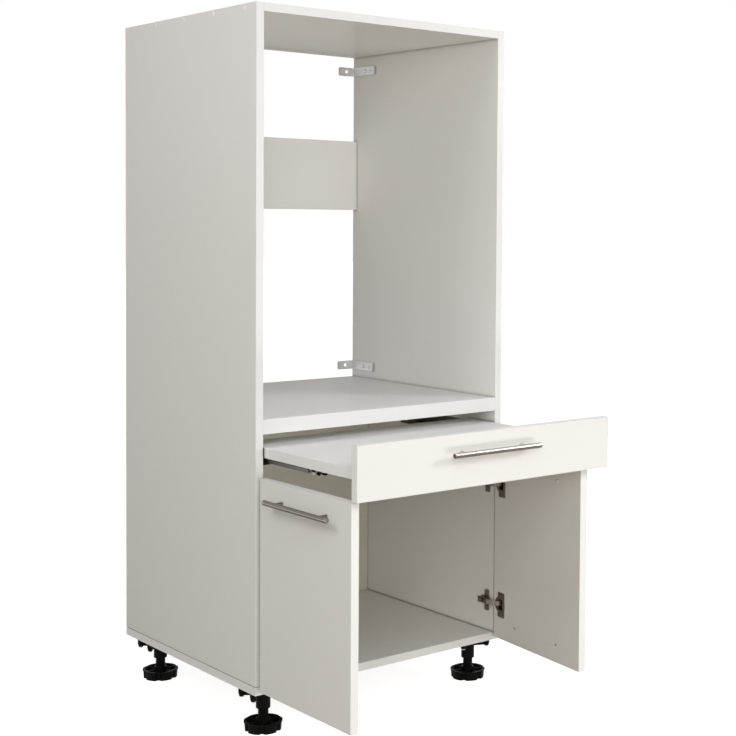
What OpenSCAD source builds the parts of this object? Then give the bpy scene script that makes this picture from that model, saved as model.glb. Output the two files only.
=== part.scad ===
// Mid-height kitchen cabinet for a built-in appliance, in millimetres.
// X runs to the right, Y runs to the back, Z runs up from the floor.
// The origin lies on the floor at the middle of the carcass.
// The pieces stand as in use: the pull-out drawn forward and both doors open.

/* [Carcass] */
// Width over the two side panels
cab_w = 600; // [560:1:640]
// Depth from the front edges to the rear edges
cab_d = 530; // [500:1:600]
// Height of the carcass without its feet
cab_h = 1295; // [1240:1:1400]
// Thickness of the carcass boards
board_t = 16; // [15:0.5:19]
// Height of the carcass above the floor
foot_h = 85; // [80:1:95]
// Height of the shelf's underside above the carcass base
shelf_z = 492; // [480:1:520]
// Thickness of the appliance shelf
shelf_t = 28; // [24:1:32]
// Height of the rear rail's lower edge above the carcass base
rail_z = 918; // [880:1:960]
// Height of the rear rail
rail_h = 162; // [120:1:180]
// Distance of the lower back panel's face in front of the rear edges
back_set = 66; // [60:1:90]
// Thickness of the lower back panel
back_t = 4; // [3:0.5:6]
// Depth of the grooves that hold the lower back panel
groove_d = 6; // [4:0.5:8]

/* [Fixings] */
// Diameter of the connecting screws
confirmat_d = 5; // [4:0.5:6]
// Length of the connecting screws
confirmat_l = 50; // [40:1:60]
// Head diameter of the connecting screws
confirmat_head_d = 9; // [8:0.5:11]
// Head height of the connecting screws
confirmat_head_h = 3; // [2:0.5:4]
// Diameter of the cover caps on the sides
cap_d = 12; // [11:0.5:14]
// Thickness of the cover caps
cap_t = 1; // [0.8:0.1:1.5]
// Distance of the first cover cap from the front edge
cap_first_y = 43; // [30:1:60]
// Pitch of the cover caps along the top edge
cap_pitch = 117; // [90:1:120]
// Diameter of the wooden dowels
dowel_d = 8; // [6:0.5:10]
// Length of a dowel in the side panel
dowel_side_l = 12; // [10:0.5:13]
// Length of a dowel in the shelf, rail or board
dowel_in_l = 18; // [15:1:24]

/* [Pull-out] */
// Travel at which the pull-out stands
pull_open = 308; // [200:1:308]
// Gap between the carcass edges and the fronts behind them
front_gap = 2; // [1.5:0.5:3]
// Thickness of the fronts
front_t = 16; // [15:0.5:19]
// Reveal of the fronts at the carcass sides
front_side_gap = 1.5; // [1:0.5:2.5]
// Height of the pull-out front
pull_front_h = 99; // [95:1:101]
// Height of the pull-out front's lower edge above the carcass base
pull_front_z = 414; // [412:1:416]
// Thickness of the pull-out board
pull_t = 19; // [16:0.5:22]
// Height of the pull-out board's underside above the carcass base
pull_z = 448; // [444:1:452]
// Depth of the pull-out board
pull_d = 400; // [380:1:420]
// Clearance between the pull-out board and each side panel
pull_side_gap = 2; // [1.5:0.5:4]

/* [Runners] */
// Length of each runner member
runner_l = 298; // [280:1:300]
// Width of the channel of the runner's cabinet member
runner_w = 22; // [20:0.5:24]
// Distance of that channel from the side panel
runner_in = 4; // [3.5:0.5:6]
// Height of the runner's cabinet member
runner_h = 11; // [10.5:0.5:13]
// Height of the ball track under the intermediate member
track_h = 4; // [3:0.5:4.5]
// Width of that ball track
track_w = 10; // [8:0.5:11]
// Sheet thickness of the runner's cabinet member
runner_sheet = 1.5; // [1.2:0.1:2]
// Sheet thickness of the moving runner members
slide_sheet = 1.2; // [1:0.1:1.5]
// Clearance between the runner members
slide_gap = 1.5; // [1:0.1:2]
// Setback of the runner's cabinet member behind the front edges
runner_setback = 3; // [2.5:0.5:5]
// Length of the black end cap on the cabinet member
runner_cap_l = 2; // [1.5:0.5:2.5]
// Width of the black end cap on the cabinet member
runner_cap_w = 20.5; // [19:0.5:22]
// Length of the rail under the pull-out board
rider_l = 142; // [120:1:150]
// Width of the clips under the pull-out board
clip_w = 12; // [10:0.5:14]
// Length of the clips under the pull-out board
clip_l = 20; // [16:1:24]
// Height of the clips under the pull-out board
clip_h = 17; // [14:0.5:18]
// Length of the levers in front of the clips
lever_l = 26; // [20:1:30]

/* [Handles] */
// Diameter of the handle bars
bar_d = 10; // [9:0.5:12]
// Length of the handle bars
bar_l = 206; // [190:1:220]
// Pitch of the handle posts
post_pitch = 144; // [128:1:160]
// Diameter of the handle posts
post_d = 7; // [6:0.5:8]
// Distance of the bar's axis in front of the face
bar_off = 20; // [18:0.5:26]
// Distance of the handle below the upper edge of its front
handle_drop = 35; // [30:1:45]
// Diameter of the handle screws
handle_screw_d = 4; // [3.5:0.5:5]
// Depth of the handle screws in the posts
handle_screw_in = 9; // [6:0.5:12]
// Diameter of the spare handle holes in the doors
spare_hole_d = 5; // [4:0.5:6]
// Depth of the spare handle holes in the doors
spare_hole_l = 11; // [8:0.5:13]

/* [Doors] */
// Opening angle at which the left door stands
left_open = 90; // [60:1:100]
// Opening angle at which the right door stands
right_open = 84; // [60:1:100]
// Gap between the two doors when closed
door_mid_gap = 3; // [2:0.5:5]
// Height of the doors' lower edge above the carcass base
door_z = 9; // [4:1:12]
// Gap between the doors and the pull-out front
door_top_gap = 3; // [2:0.5:6]
// Distance of the swing axis inward from the carcass side
axis_in = 8; // [7.5:0.25:8.5]
// Distance of the swing axis in front of the carcass edges
axis_front = 14.8; // [14.5:0.1:15.2]

/* [Hinges] */
// Distance of the hinges from the door's upper and lower edges
hinge_inset = 73; // [60:1:95]
// Diameter of the hinge cups
cup_d = 35; // [34:0.5:36]
// Depth of the hinge cups in the doors
cup_l = 11.5; // [11:0.5:12.5]
// Distance of a cup's centre from the door's edge
cup_edge = 22.5; // [22:0.5:23.5]
// Thickness of the cup flange
flange_t = 0.8; // [0.6:0.1:1]
// Pitch of the two screws on the cup flange
flange_pitch = 45; // [42:0.5:48]
// Distance of the flange screws' line from the cup's centre, away from the door's edge
flange_off = 9.5; // [9:0.5:11]
// Setback of the mounting plate behind the front edges
plate_back = 20; // [18:0.5:37]
// Pitch of the two screws on the mounting plate
plate_pitch = 32; // [30:0.5:36]
// Length of the hinge arms behind the front edges
arm_l = 41; // [39:1:60]
// Radius of the knuckle in the hinge cup, about the swing axis
knuckle_r = 14.1; // [12:0.1:14.2]
// Reach of the arm's nose in front of the carcass edges
nose_l = 11.5; // [8:0.5:11.5]

/* [Feet] */
// Distance of the feet from the carcass sides
foot_in_x = 46.5; // [44:0.5:60]
// Distance of the front feet behind the front edges
foot_front = 48; // [44:1:70]
// Distance of the rear feet from the rear edges
foot_rear = 65; // [44:1:80]
// Diameter of the foot pads
pad_d = 72; // [66:1:76]
// Height of the foot pads
pad_h = 18; // [14:1:20]
// Turn of the foot pads about their axes
pad_turn = 18; // [0:1:59]
// Outer diameter of the foot sleeves
sleeve_d = 28; // [26:0.5:30]
// Length of the foot sleeves
sleeve_l = 45; // [38:1:48]
// Diameter of the round part of the socket plates
socket_d = 40; // [36:1:44]
// Distance of the outer screw lugs from the foot's axis, towards the side panel
lug_out = 34.5; // [32:0.5:35]
// Distance of the inner screw lugs from the foot's axis, along the front
lug_in = 22; // [18:0.5:24]
// Pitch of the outer screw lugs
lug_pitch = 43; // [40:1:46]
// Height of the screw lugs
lug_h = 19; // [8:0.5:20]
// Diameter of the screw lugs
lug_d = 13; // [12:0.5:14]
// Outer diameter of the foot stems
stem_d = 20.8; // [19:0.1:22]
// Radial clearance between stem and sleeve
stem_gap = 0.1; // [0.05:0.01:0.1]
// Depth of the grooves between the stem's thread turns
thread_d = 0.9; // [0.6:0.1:1.2]
// Pitch of the stem's thread turns
thread_pitch = 4; // [3:0.5:5]
// Height of the pad's hub above its rim
hub_up = 5; // [4:0.5:8]
// Diameter of the spigot that joins stem and pad
spigot_d = 12; // [10:0.5:14]

/* [Wall brackets] */
// Height of the brackets
bracket_h = 20; // [18:1:24]
// Sheet thickness of the brackets
bracket_t = 2.5; // [2:0.1:3]
// Length of a bracket's leg along the wall
bracket_wall_l = 44; // [40:1:50]
// Length of a bracket's leg along the side panel
bracket_side_l = 90; // [80:1:100]
// Diameter of the wall hole in a bracket
bracket_hole_d = 8; // [6:0.5:9]
// Distance of the wall hole from the side panel
bracket_hole_x = 22; // [20:1:26]
// Height of the lower brackets' middle above the shelf
bracket_low_up = 28; // [20:1:40]
// Distance of the upper brackets' middle below the top panel
bracket_top_down = 34; // [25:1:45]

/* [Hidden] */
$fn = 48;
half_w = cab_w / 2;
front_y = -cab_d / 2;
rear_y = cab_d / 2;
base_z = foot_h;
top_z = base_z + cab_h;
side_x = half_w - board_t;
side_z = base_z + board_t;
shelf_lo = base_z + shelf_z;
shelf_hi = shelf_lo + shelf_t;
back_in = rear_y - back_set;
face_y = front_y - front_gap;
pull_lo = base_z + pull_z;
pull_front_lo = base_z + pull_front_z;
pull_front_hi = pull_front_lo + pull_front_h;
pull_x = side_x - pull_side_gap;
mid_open = pull_open / 2;
door_lo = base_z + door_z;
door_hi = pull_front_lo - door_top_gap;
door_w = (cab_w - 2 * front_side_gap - door_mid_gap) / 2;
door_mid_x = half_w - front_side_gap - door_w / 2;
cup_x = half_w - front_side_gap - cup_edge;
hinge_zs = [door_lo + hinge_inset, door_hi - hinge_inset];
swing_x = half_w - axis_in;
swing_y = front_y - axis_front;
runner_hi = pull_lo - front_gap;
runner_lo = runner_hi - runner_h;
runner_y = front_y + runner_setback;
runner_x = side_x - runner_in;
mid_x1 = runner_x - runner_sheet - slide_gap;
mid_x0 = runner_x - runner_w + runner_sheet + slide_gap;
mid_lo = runner_lo + runner_sheet + track_h;
ride_x1 = mid_x1 - slide_sheet - slide_gap;
ride_x0 = mid_x0 + slide_sheet + slide_gap;
ride_lo = mid_lo + slide_sheet + 0.8;
caps_y = [for (i = [0:3]) front_y + cap_first_y + i * cap_pitch];
dowels_y = [-0.38 * cab_d, 0, 0.38 * cab_d];
base_screws_y = [-0.4 * cab_d, -0.15 * cab_d, 0.15 * cab_d, 0.4 * cab_d];
rail_lo = base_z + rail_z;
rail_zs = [rail_lo + 0.22 * rail_h, rail_lo + 0.78 * rail_h];
bracket_zs = [shelf_hi + bracket_low_up, top_z - board_t - bracket_top_down];
bracket_y = rear_y - bracket_side_l;
bracket_screw_y = bracket_y + 0.455 * bracket_side_l;
runner_screws_y = [for (k = [0.12, 0.55, 0.87]) runner_y + k * runner_l];
rider_y = runner_y + runner_l - rider_l;
ride_screws_y = [for (k = [0.12, 0.5, 0.88]) rider_y + k * rider_l];
catch_y = runner_y + 0.54 * runner_l;
clip_x = runner_x - runner_w - 1;

// A box between two corners
module box(x0, x1, y0, y1, z0, z1) {
  translate([x0, y0, z0])
    cube([x1 - x0, y1 - y0, z1 - z0]);
}

// Round bars along each axis, from a start point
module rod_x(x0, x1, y, z, d) {
  translate([x0, y, z])
    rotate([0, 90, 0])
      cylinder(d = d, h = x1 - x0);
}

module rod_y(x, y0, y1, z, d) {
  translate([x, y0, z])
    rotate([-90, 0, 0])
      cylinder(d = d, h = y1 - y0);
}

module rod_z(x, y, z0, z1, d) {
  translate([x, y, z0])
    cylinder(d = d, h = z1 - z0);
}

// Mirrors a left-hand shape to the right where side is 1
module hand(side) {
  if (side > 0)
    mirror([1, 0, 0])
      children();
  else
    children();
}

// Stands a shape drawn closed at its place in use
module drawn_out(travel) {
  translate([0, -travel, 0])
    children();
}

module swung(side) {
  hand(side)
    translate([-swing_x, swing_y, 0])
      rotate([0, 0, side < 0 ? -left_open : -right_open])
        translate([swing_x, -swing_y, 0])
          children();
}

// Screw bores and screws at the top panel, on the left
module top_screw_rods() {
  for (y = caps_y) {
    rod_x(-half_w + cap_t, -half_w + cap_t + confirmat_head_h, y, top_z - board_t / 2, confirmat_head_d);
    rod_x(-half_w + cap_t + confirmat_head_h, -half_w + confirmat_l, y, top_z - board_t / 2, confirmat_d);
  }
}

// The round caps that close those bores, let in flush, on the left
module top_cap_discs() {
  for (y = caps_y)
    rod_x(-half_w, -half_w + cap_t, y, top_z - board_t / 2, cap_d);
}

// Screws that rise through the bottom panel into a side panel, on the left
module bottom_screw_rods() {
  for (y = base_screws_y) {
    rod_z(-half_w + board_t / 2, y, base_z, base_z + confirmat_head_h, confirmat_head_d);
    rod_z(-half_w + board_t / 2, y, base_z + confirmat_head_h, base_z + confirmat_l, confirmat_d);
  }
}

module shelf_dowel_rods() {
  for (y = dowels_y)
    rod_x(-side_x - dowel_side_l, -side_x + dowel_in_l, y, shelf_lo + shelf_t / 2, dowel_d);
}

module rail_dowel_rods() {
  for (z = rail_zs)
    rod_x(-side_x - dowel_side_l, -side_x + dowel_in_l, rear_y - board_t / 2, z, dowel_d);
}

module runner_screw_rods() {
  for (y = runner_screws_y)
    rod_x(-side_x - 12, -side_x + runner_sheet, y, runner_lo + runner_h / 2 + 1, 4);
}

module plate_screw_rods() {
  for (z = hinge_zs)
    for (k = [-1, 1])
      rod_x(-side_x - 11, -side_x + 3, front_y + plate_back, z + k * plate_pitch / 2, 4);
}

module bracket_screw_rods() {
  for (z = bracket_zs)
    rod_x(-side_x - 11, -side_x + bracket_t, bracket_screw_y, z, 4);
}

module side_panel() {
  difference() {
    box(-half_w, -side_x, front_y, rear_y, side_z, top_z);
    box(-side_x - groove_d, -side_x + 1, back_in, back_in + back_t, side_z - 1, shelf_lo + groove_d);
    top_screw_rods();
    top_cap_discs();
    bottom_screw_rods();
    shelf_dowel_rods();
    rail_dowel_rods();
    runner_screw_rods();
    plate_screw_rods();
    bracket_screw_rods();
  }
}

module left_side_panel() {
  color([0.94, 0.94, 0.93])
    side_panel();
}

module right_side_panel() {
  color([0.94, 0.94, 0.93])
    hand(1)
      side_panel();
}

module top_panel() {
  color([0.94, 0.94, 0.93])
    difference() {
      box(-side_x, side_x, front_y, rear_y, top_z - board_t, top_z);
      top_screw_rods();
      hand(1)
        top_screw_rods();
    }
}

module foot_places() {
  for (s = [-1, 1])
    hand(s) {
      translate([-half_w + foot_in_x, front_y + foot_front, 0])
        children();
      translate([-half_w + foot_in_x, rear_y - foot_rear, 0])
        children();
    }
}

// The four lugs of a foot socket, two of them towards the side panel
module lug_places() {
  for (k = [-1, 1]) {
    translate([-lug_out, k * lug_pitch / 2, 0])
      children();
    translate([lug_in, 0.28 * k * lug_pitch, 0])
      children();
  }
}

module socket_screw_rods() {
  lug_places()
    rod_z(0, 0, base_z - lug_h, base_z + 12, 4);
}

module bottom_panel() {
  color([0.94, 0.94, 0.93])
    difference() {
      box(-half_w, half_w, front_y, rear_y, base_z, side_z);
      box(-side_x - groove_d, side_x + groove_d, back_in, back_in + back_t, side_z - groove_d, side_z + 1);
      bottom_screw_rods();
      hand(1)
        bottom_screw_rods();
      foot_places()
        socket_screw_rods();
    }
}

module appliance_shelf() {
  color([0.94, 0.94, 0.93])
    difference() {
      box(-side_x, side_x, front_y, rear_y, shelf_lo, shelf_hi);
      box(-side_x - 1, side_x + 1, back_in, back_in + back_t, shelf_lo - 1, shelf_lo + groove_d);
      shelf_dowel_rods();
      hand(1)
        shelf_dowel_rods();
    }
}

module back_rail() {
  color([0.92, 0.92, 0.91])
    difference() {
      box(-side_x, side_x, rear_y - board_t, rear_y, rail_lo, rail_lo + rail_h);
      rail_dowel_rods();
      hand(1)
        rail_dowel_rods();
    }
}

module lower_back_panel() {
  color([0.9, 0.9, 0.88])
    box(-side_x - groove_d, side_x + groove_d, back_in, back_in + back_t,
      side_z - groove_d, shelf_lo + groove_d);
}

module top_screws() {
  color([0.7, 0.7, 0.68])
    for (s = [-1, 1])
      hand(s)
        top_screw_rods();
}

module top_screw_caps() {
  color([0.97, 0.97, 0.96])
    for (s = [-1, 1])
      hand(s)
        top_cap_discs();
}

module bottom_screws() {
  color([0.7, 0.7, 0.68])
    for (s = [-1, 1])
      hand(s)
        bottom_screw_rods();
}

module shelf_dowels() {
  color([0.8, 0.66, 0.46])
    for (s = [-1, 1])
      hand(s)
        shelf_dowel_rods();
}

module rail_dowels() {
  color([0.8, 0.66, 0.46])
    for (s = [-1, 1])
      hand(s)
        rail_dowel_rods();
}

// An angle bracket with a turned lip, on the left
module wall_bracket(z) {
  difference() {
    union() {
      box(-side_x, -side_x + bracket_t, bracket_y, rear_y, z - bracket_h / 2, z + bracket_h / 2);
      box(-side_x, -side_x + bracket_wall_l, rear_y - bracket_t, rear_y,
        z - bracket_h / 2, z + bracket_h / 2);
      box(-side_x, -side_x + 5, bracket_y, bracket_y + bracket_t,
        z - bracket_h / 2, z + bracket_h / 2);
    }
    bracket_screw_rods();
    rod_x(-side_x - 1, -side_x + bracket_t + 1, bracket_y + 17, z, 3);
    rod_y(-side_x + bracket_hole_x, rear_y - bracket_t - 1, rear_y + 1, z, bracket_hole_d);
  }
}

module bracket_upper_left() {
  color([0.75, 0.75, 0.74])
    wall_bracket(bracket_zs[1]);
}

module bracket_upper_right() {
  color([0.75, 0.75, 0.74])
    hand(1)
      wall_bracket(bracket_zs[1]);
}

module bracket_lower_left() {
  color([0.75, 0.75, 0.74])
    wall_bracket(bracket_zs[0]);
}

module bracket_lower_right() {
  color([0.75, 0.75, 0.74])
    hand(1)
      wall_bracket(bracket_zs[0]);
}

module bracket_screws() {
  color([0.7, 0.7, 0.68])
    for (s = [-1, 1])
      hand(s) {
        bracket_screw_rods();
        for (z = bracket_zs)
          rod_x(-side_x + bracket_t, -side_x + bracket_t + 2, bracket_screw_y, z, 8);
      }
}

// The runner's cabinet member, a channel with a ball track beside its screwed flange
module runner_channel() {
  box(-(mid_x0 + mid_x1 + track_w) / 2, -(mid_x0 + mid_x1 - track_w) / 2, runner_y,
    runner_y + runner_l, runner_lo + runner_sheet / 2, mid_lo - slide_gap / 5);
  difference() {
    box(-side_x, -runner_x + runner_w, runner_y, runner_y + runner_l, runner_lo, runner_hi);
    box(-side_x + runner_sheet, -runner_x, runner_y - 1, runner_y + runner_l + 1,
      runner_lo + runner_sheet, runner_hi + 1);
    box(-runner_x + runner_sheet, -runner_x + runner_w - runner_sheet, runner_y - 1,
      runner_y + runner_l + 1, runner_lo + runner_sheet, runner_hi + 1);
    box(-runner_x + runner_w - runner_sheet - 1, -runner_x + runner_w + 1, runner_y - 1,
      runner_y + runner_l + 1, runner_lo + runner_h * 0.7, runner_hi + 1);
    runner_screw_rods();
  }
}

module runner_left() {
  color([0.2, 0.2, 0.2])
    runner_channel();
}

module runner_right() {
  color([0.2, 0.2, 0.2])
    hand(1)
      runner_channel();
}

module runner_end_caps() {
  color([0.06, 0.06, 0.06])
    for (s = [-1, 1])
      hand(s)
        difference() {
          box(-side_x, -side_x + runner_cap_w, runner_y - runner_cap_l, runner_y,
            runner_lo - 0.5, runner_hi);
          box(-mid_x1 - 0.5, -mid_x0 + 0.5, runner_y - runner_cap_l - 1, runner_y + 1,
            mid_lo - 0.4, runner_hi + 1);
        }
}

module runner_screws() {
  color([0.6, 0.6, 0.58])
    for (s = [-1, 1])
      hand(s) {
        runner_screw_rods();
        for (y = runner_screws_y)
          rod_x(-side_x + runner_sheet, -side_x + runner_sheet + 1, y,
            runner_lo + runner_h / 2 + 1, 7);
      }
}

// The intermediate runner member, a smaller channel
module slide_channel() {
  drawn_out(mid_open)
    difference() {
      box(-mid_x1, -mid_x0, runner_y, runner_y + runner_l, mid_lo, runner_hi - 0.5);
      box(-mid_x1 + slide_sheet, -mid_x0 - slide_sheet, runner_y - 1, runner_y + runner_l + 1,
        mid_lo + slide_sheet, runner_hi + 1);
    }
}

module slide_left() {
  color([0.3, 0.3, 0.3])
    slide_channel();
}

module slide_right() {
  color([0.3, 0.3, 0.3])
    hand(1)
      slide_channel();
}

module rider_screw_rods() {
  for (y = ride_screws_y)
    rod_z(-(ride_x0 + ride_x1) / 2, y, pull_lo - slide_sheet, pull_lo + 12, 3.5);
}

// The runner's board member, hung under the pull-out board
module rider_rail() {
  drawn_out(pull_open)
    difference() {
      union() {
        box(-mid_x1, -mid_x0, rider_y, rider_y + rider_l, pull_lo - slide_sheet, pull_lo);
        box(-ride_x1, -ride_x0, rider_y, rider_y + rider_l, ride_lo, pull_lo - slide_sheet);
      }
      box(-ride_x1 + slide_sheet, -ride_x0 - slide_sheet, rider_y - 1, rider_y + rider_l + 1,
        ride_lo - 1, pull_lo - slide_sheet);
      rider_screw_rods();
    }
}

module rider_left() {
  color([0.3, 0.3, 0.3])
    rider_rail();
}

module rider_right() {
  color([0.3, 0.3, 0.3])
    hand(1)
      rider_rail();
}

module rider_screws() {
  color([0.6, 0.6, 0.58])
    for (s = [-1, 1])
      hand(s)
        drawn_out(pull_open) {
          rider_screw_rods();
          for (y = ride_screws_y)
            rod_z(-(ride_x0 + ride_x1) / 2, y, pull_lo - slide_sheet - 1.2,
              pull_lo - slide_sheet, 5);
        }
}

module front_dowel_rods() {
  for (x = [-0.4 * cab_w, -0.14 * cab_w, 0.14 * cab_w, 0.4 * cab_w])
    rod_y(x, face_y - 10, face_y + dowel_in_l, pull_lo + pull_t / 2, dowel_d);
}

// The pegs that hold the board clips in the pull-out board, on the left
module clip_pegs() {
  rod_z(-clip_x + clip_w / 2, catch_y + clip_l / 2, pull_lo, pull_lo + 8, 5);
}

module pull_out_board() {
  color([0.95, 0.95, 0.95])
    drawn_out(pull_open)
      difference() {
        box(-pull_x, pull_x, face_y, face_y + pull_d, pull_lo, pull_lo + pull_t);
        front_dowel_rods();
        for (s = [-1, 1])
          hand(s) {
            rider_screw_rods();
            clip_pegs();
          }
      }
}

module handle_bores(x, z) {
  for (k = [-1, 1])
    rod_y(x + k * post_pitch / 2, face_y - front_t - 1, face_y + 1, z, handle_screw_d);
}

module pull_out_front() {
  color([0.95, 0.95, 0.95])
    drawn_out(pull_open)
      difference() {
        box(-half_w + front_side_gap, half_w - front_side_gap, face_y - front_t, face_y,
          pull_front_lo, pull_front_hi);
        front_dowel_rods();
        handle_bores(0, pull_front_hi - handle_drop);
      }
}

module front_dowels() {
  color([0.8, 0.66, 0.46])
    drawn_out(pull_open)
      front_dowel_rods();
}

module board_clips() {
  color([0.85, 0.85, 0.83])
    for (s = [-1, 1])
      hand(s)
        drawn_out(pull_open) {
          box(-clip_x, -clip_x + clip_w, catch_y, catch_y + clip_l, pull_lo - clip_h, pull_lo);
          clip_pegs();
        }
}

module clip_levers() {
  color([0.08, 0.08, 0.08])
    for (s = [-1, 1])
      hand(s)
        drawn_out(pull_open) {
          box(-clip_x + 1, -clip_x + clip_w * 2 / 3, catch_y - lever_l + 10, catch_y,
            pull_lo - clip_h + 1, pull_lo - clip_h + 6);
          box(-clip_x + 0.5, -clip_x + clip_w, catch_y - lever_l, catch_y - lever_l + 10,
            pull_lo - clip_h + 3, pull_lo - clip_h + 7);
        }
}

// A bar handle on two posts, in front of a face
module bar_handle(x, z) {
  difference() {
    union() {
      rod_x(x - bar_l / 2, x + bar_l / 2, face_y - front_t - bar_off, z, bar_d);
      for (k = [-1, 1])
        rod_y(x + k * post_pitch / 2, face_y - front_t - bar_off, face_y - front_t, z, post_d);
    }
    for (k = [-1, 1])
      rod_y(x + k * post_pitch / 2, face_y - front_t - handle_screw_in, face_y, z, handle_screw_d);
  }
}

module handle_screw_set(x, z) {
  for (k = [-1, 1]) {
    rod_y(x + k * post_pitch / 2, face_y - front_t - handle_screw_in, face_y, z, handle_screw_d);
    rod_y(x + k * post_pitch / 2, face_y, face_y + 2, z, 8);
  }
}

module pull_out_handle() {
  color([0.75, 0.73, 0.7])
    drawn_out(pull_open)
      bar_handle(0, pull_front_hi - handle_drop);
}

module pull_out_handle_screws() {
  color([0.75, 0.75, 0.73])
    drawn_out(pull_open)
      handle_screw_set(0, pull_front_hi - handle_drop);
}

module cup_screw_rods() {
  for (z = hinge_zs)
    for (k = [-1, 1])
      rod_y(-cup_x + flange_off, face_y - 10, face_y + flange_t, z + k * flange_pitch / 2, 3.5);
}

// A door with its bores, drawn closed on the left
module door_panel() {
  difference() {
    box(-half_w + front_side_gap, -half_w + front_side_gap + door_w, face_y - front_t, face_y,
      door_lo, door_hi);
    for (z = hinge_zs)
      rod_y(-cup_x, face_y - cup_l, face_y + 1, z, cup_d);
    cup_screw_rods();
    handle_bores(-door_mid_x, door_hi - handle_drop);
    for (k = [-1, 1])
      rod_y(-door_mid_x + k * post_pitch / 2, face_y - spare_hole_l, face_y + 1,
        door_lo + handle_drop, spare_hole_d);
  }
}

// A hinge cup with its upright flange, which covers the far side of the opening
module hinge_cups() {
  for (z = hinge_zs) {
    difference() {
      union() {
        rod_y(-cup_x, face_y - cup_l, face_y, z, cup_d);
        rod_y(-cup_x, face_y, face_y + flange_t, z, cup_d + 3);
        box(-cup_x - flange_off + 1, -cup_x + 1.5 * flange_off - 1, face_y, face_y + flange_t,
          z - flange_pitch / 2 - 4, z + flange_pitch / 2 + 4);
      }
      rod_y(-cup_x, face_y - cup_l + 1.5, face_y + flange_t + 1, z, cup_d - 3);
      cup_screw_rods();
    }
    box(-cup_x + flange_off / 2, -cup_x + 1.5 * flange_off - 1, face_y, face_y + flange_t,
      z - cup_d / 2, z + cup_d / 2);
    intersection() {
      rod_z(-swing_x, swing_y, z - 5, z + 5, 2 * knuckle_r);
      box(-cup_x - cup_d / 2 + 1, -cup_x - cup_d / 2 + 14, face_y - cup_l + 1, face_y + 2, z - 5, z + 5);
    }
  }
}

module cup_screws() {
  cup_screw_rods();
  for (z = hinge_zs)
    for (k = [-1, 1])
      rod_y(-cup_x + flange_off, face_y + flange_t, face_y + flange_t + 0.6,
        z + k * flange_pitch / 2, 6);
}

module left_door() {
  color([0.95, 0.95, 0.94])
    swung(-1)
      door_panel();
}

module left_handle() {
  color([0.75, 0.73, 0.7])
    swung(-1)
      bar_handle(-door_mid_x, door_hi - handle_drop);
}

module left_handle_screws() {
  color([0.75, 0.75, 0.73])
    swung(-1)
      handle_screw_set(-door_mid_x, door_hi - handle_drop);
}

module left_hinge_cups() {
  color([0.72, 0.7, 0.66])
    swung(-1)
      hinge_cups();
}

module left_cup_screws() {
  color([0.6, 0.6, 0.58])
    swung(-1)
      cup_screws();
}

module right_door() {
  color([0.95, 0.95, 0.94])
    swung(1)
      door_panel();
}

module right_handle() {
  color([0.75, 0.73, 0.7])
    swung(1)
      bar_handle(-door_mid_x, door_hi - handle_drop);
}

module right_handle_screws() {
  color([0.75, 0.75, 0.73])
    swung(1)
      handle_screw_set(-door_mid_x, door_hi - handle_drop);
}

module right_hinge_cups() {
  color([0.72, 0.7, 0.66])
    swung(1)
      hinge_cups();
}

module right_cup_screws() {
  color([0.6, 0.6, 0.58])
    swung(1)
      cup_screws();
}

// The cross-shaped mounting plates on a side panel, on the left
module hinge_plates() {
  difference() {
    for (z = hinge_zs)
      union() {
        box(-side_x, -side_x + 3, front_y + plate_back - 7, front_y + arm_l - 2, z - 7, z + 7);
        box(-side_x, -side_x + 3, front_y + plate_back - 6, front_y + plate_back + 6, z - 22, z + 22);
        box(-side_x, -side_x + 7.8, front_y + plate_back - 6.5, front_y + arm_l - 1,
          z - 4.8, z + 4.8);
      }
    plate_screw_rods();
    for (z = hinge_zs)
      rod_x(-side_x + 2, -side_x + 9, front_y + plate_back + 16, z, 5);
  }
}

// The hinge arms, channels that straddle the plates, on the left
module hinge_arms() {
  for (z = hinge_zs)
    difference() {
      union() {
        box(-side_x + 3.5, -side_x + 9.5, front_y + 4, front_y + arm_l, z - 6.5, z + 6.5);
        box(-side_x + 6, -side_x + 11, front_y - nose_l, front_y + 10, z - 5, z + 5);
      }
      box(-side_x + 2, -side_x + 8, front_y + 12, front_y + arm_l + 1, z - 5, z + 5);
      rod_x(-side_x + 7, -side_x + 10, front_y + plate_back + 16, z, 5);
      rod_x(-side_x + 7, -side_x + 12, front_y + plate_back, z, 4);
    }
}

module left_hinge_plates() {
  color([0.7, 0.68, 0.64])
    hinge_plates();
}

module right_hinge_plates() {
  color([0.7, 0.68, 0.64])
    hand(1)
      hinge_plates();
}

module left_hinge_arms() {
  color([0.72, 0.7, 0.66])
    hinge_arms();
}

module right_hinge_arms() {
  color([0.72, 0.7, 0.66])
    hand(1)
      hinge_arms();
}

module plate_screws() {
  color([0.6, 0.6, 0.58])
    for (s = [-1, 1])
      hand(s) {
        plate_screw_rods();
        for (z = hinge_zs)
          for (k = [-1, 1])
            rod_x(-side_x + 3, -side_x + 4.5, front_y + plate_back, z + k * plate_pitch / 2, 7);
      }
}

module arm_screws() {
  color([0.6, 0.6, 0.58])
    for (s = [-1, 1])
      hand(s)
        for (z = hinge_zs) {
          rod_x(-side_x + 2, -side_x + 9.5, front_y + plate_back + 16, z, 5);
          rod_x(-side_x + 9.5, -side_x + 11, front_y + plate_back + 16, z, 7.5);
        }
}

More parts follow.
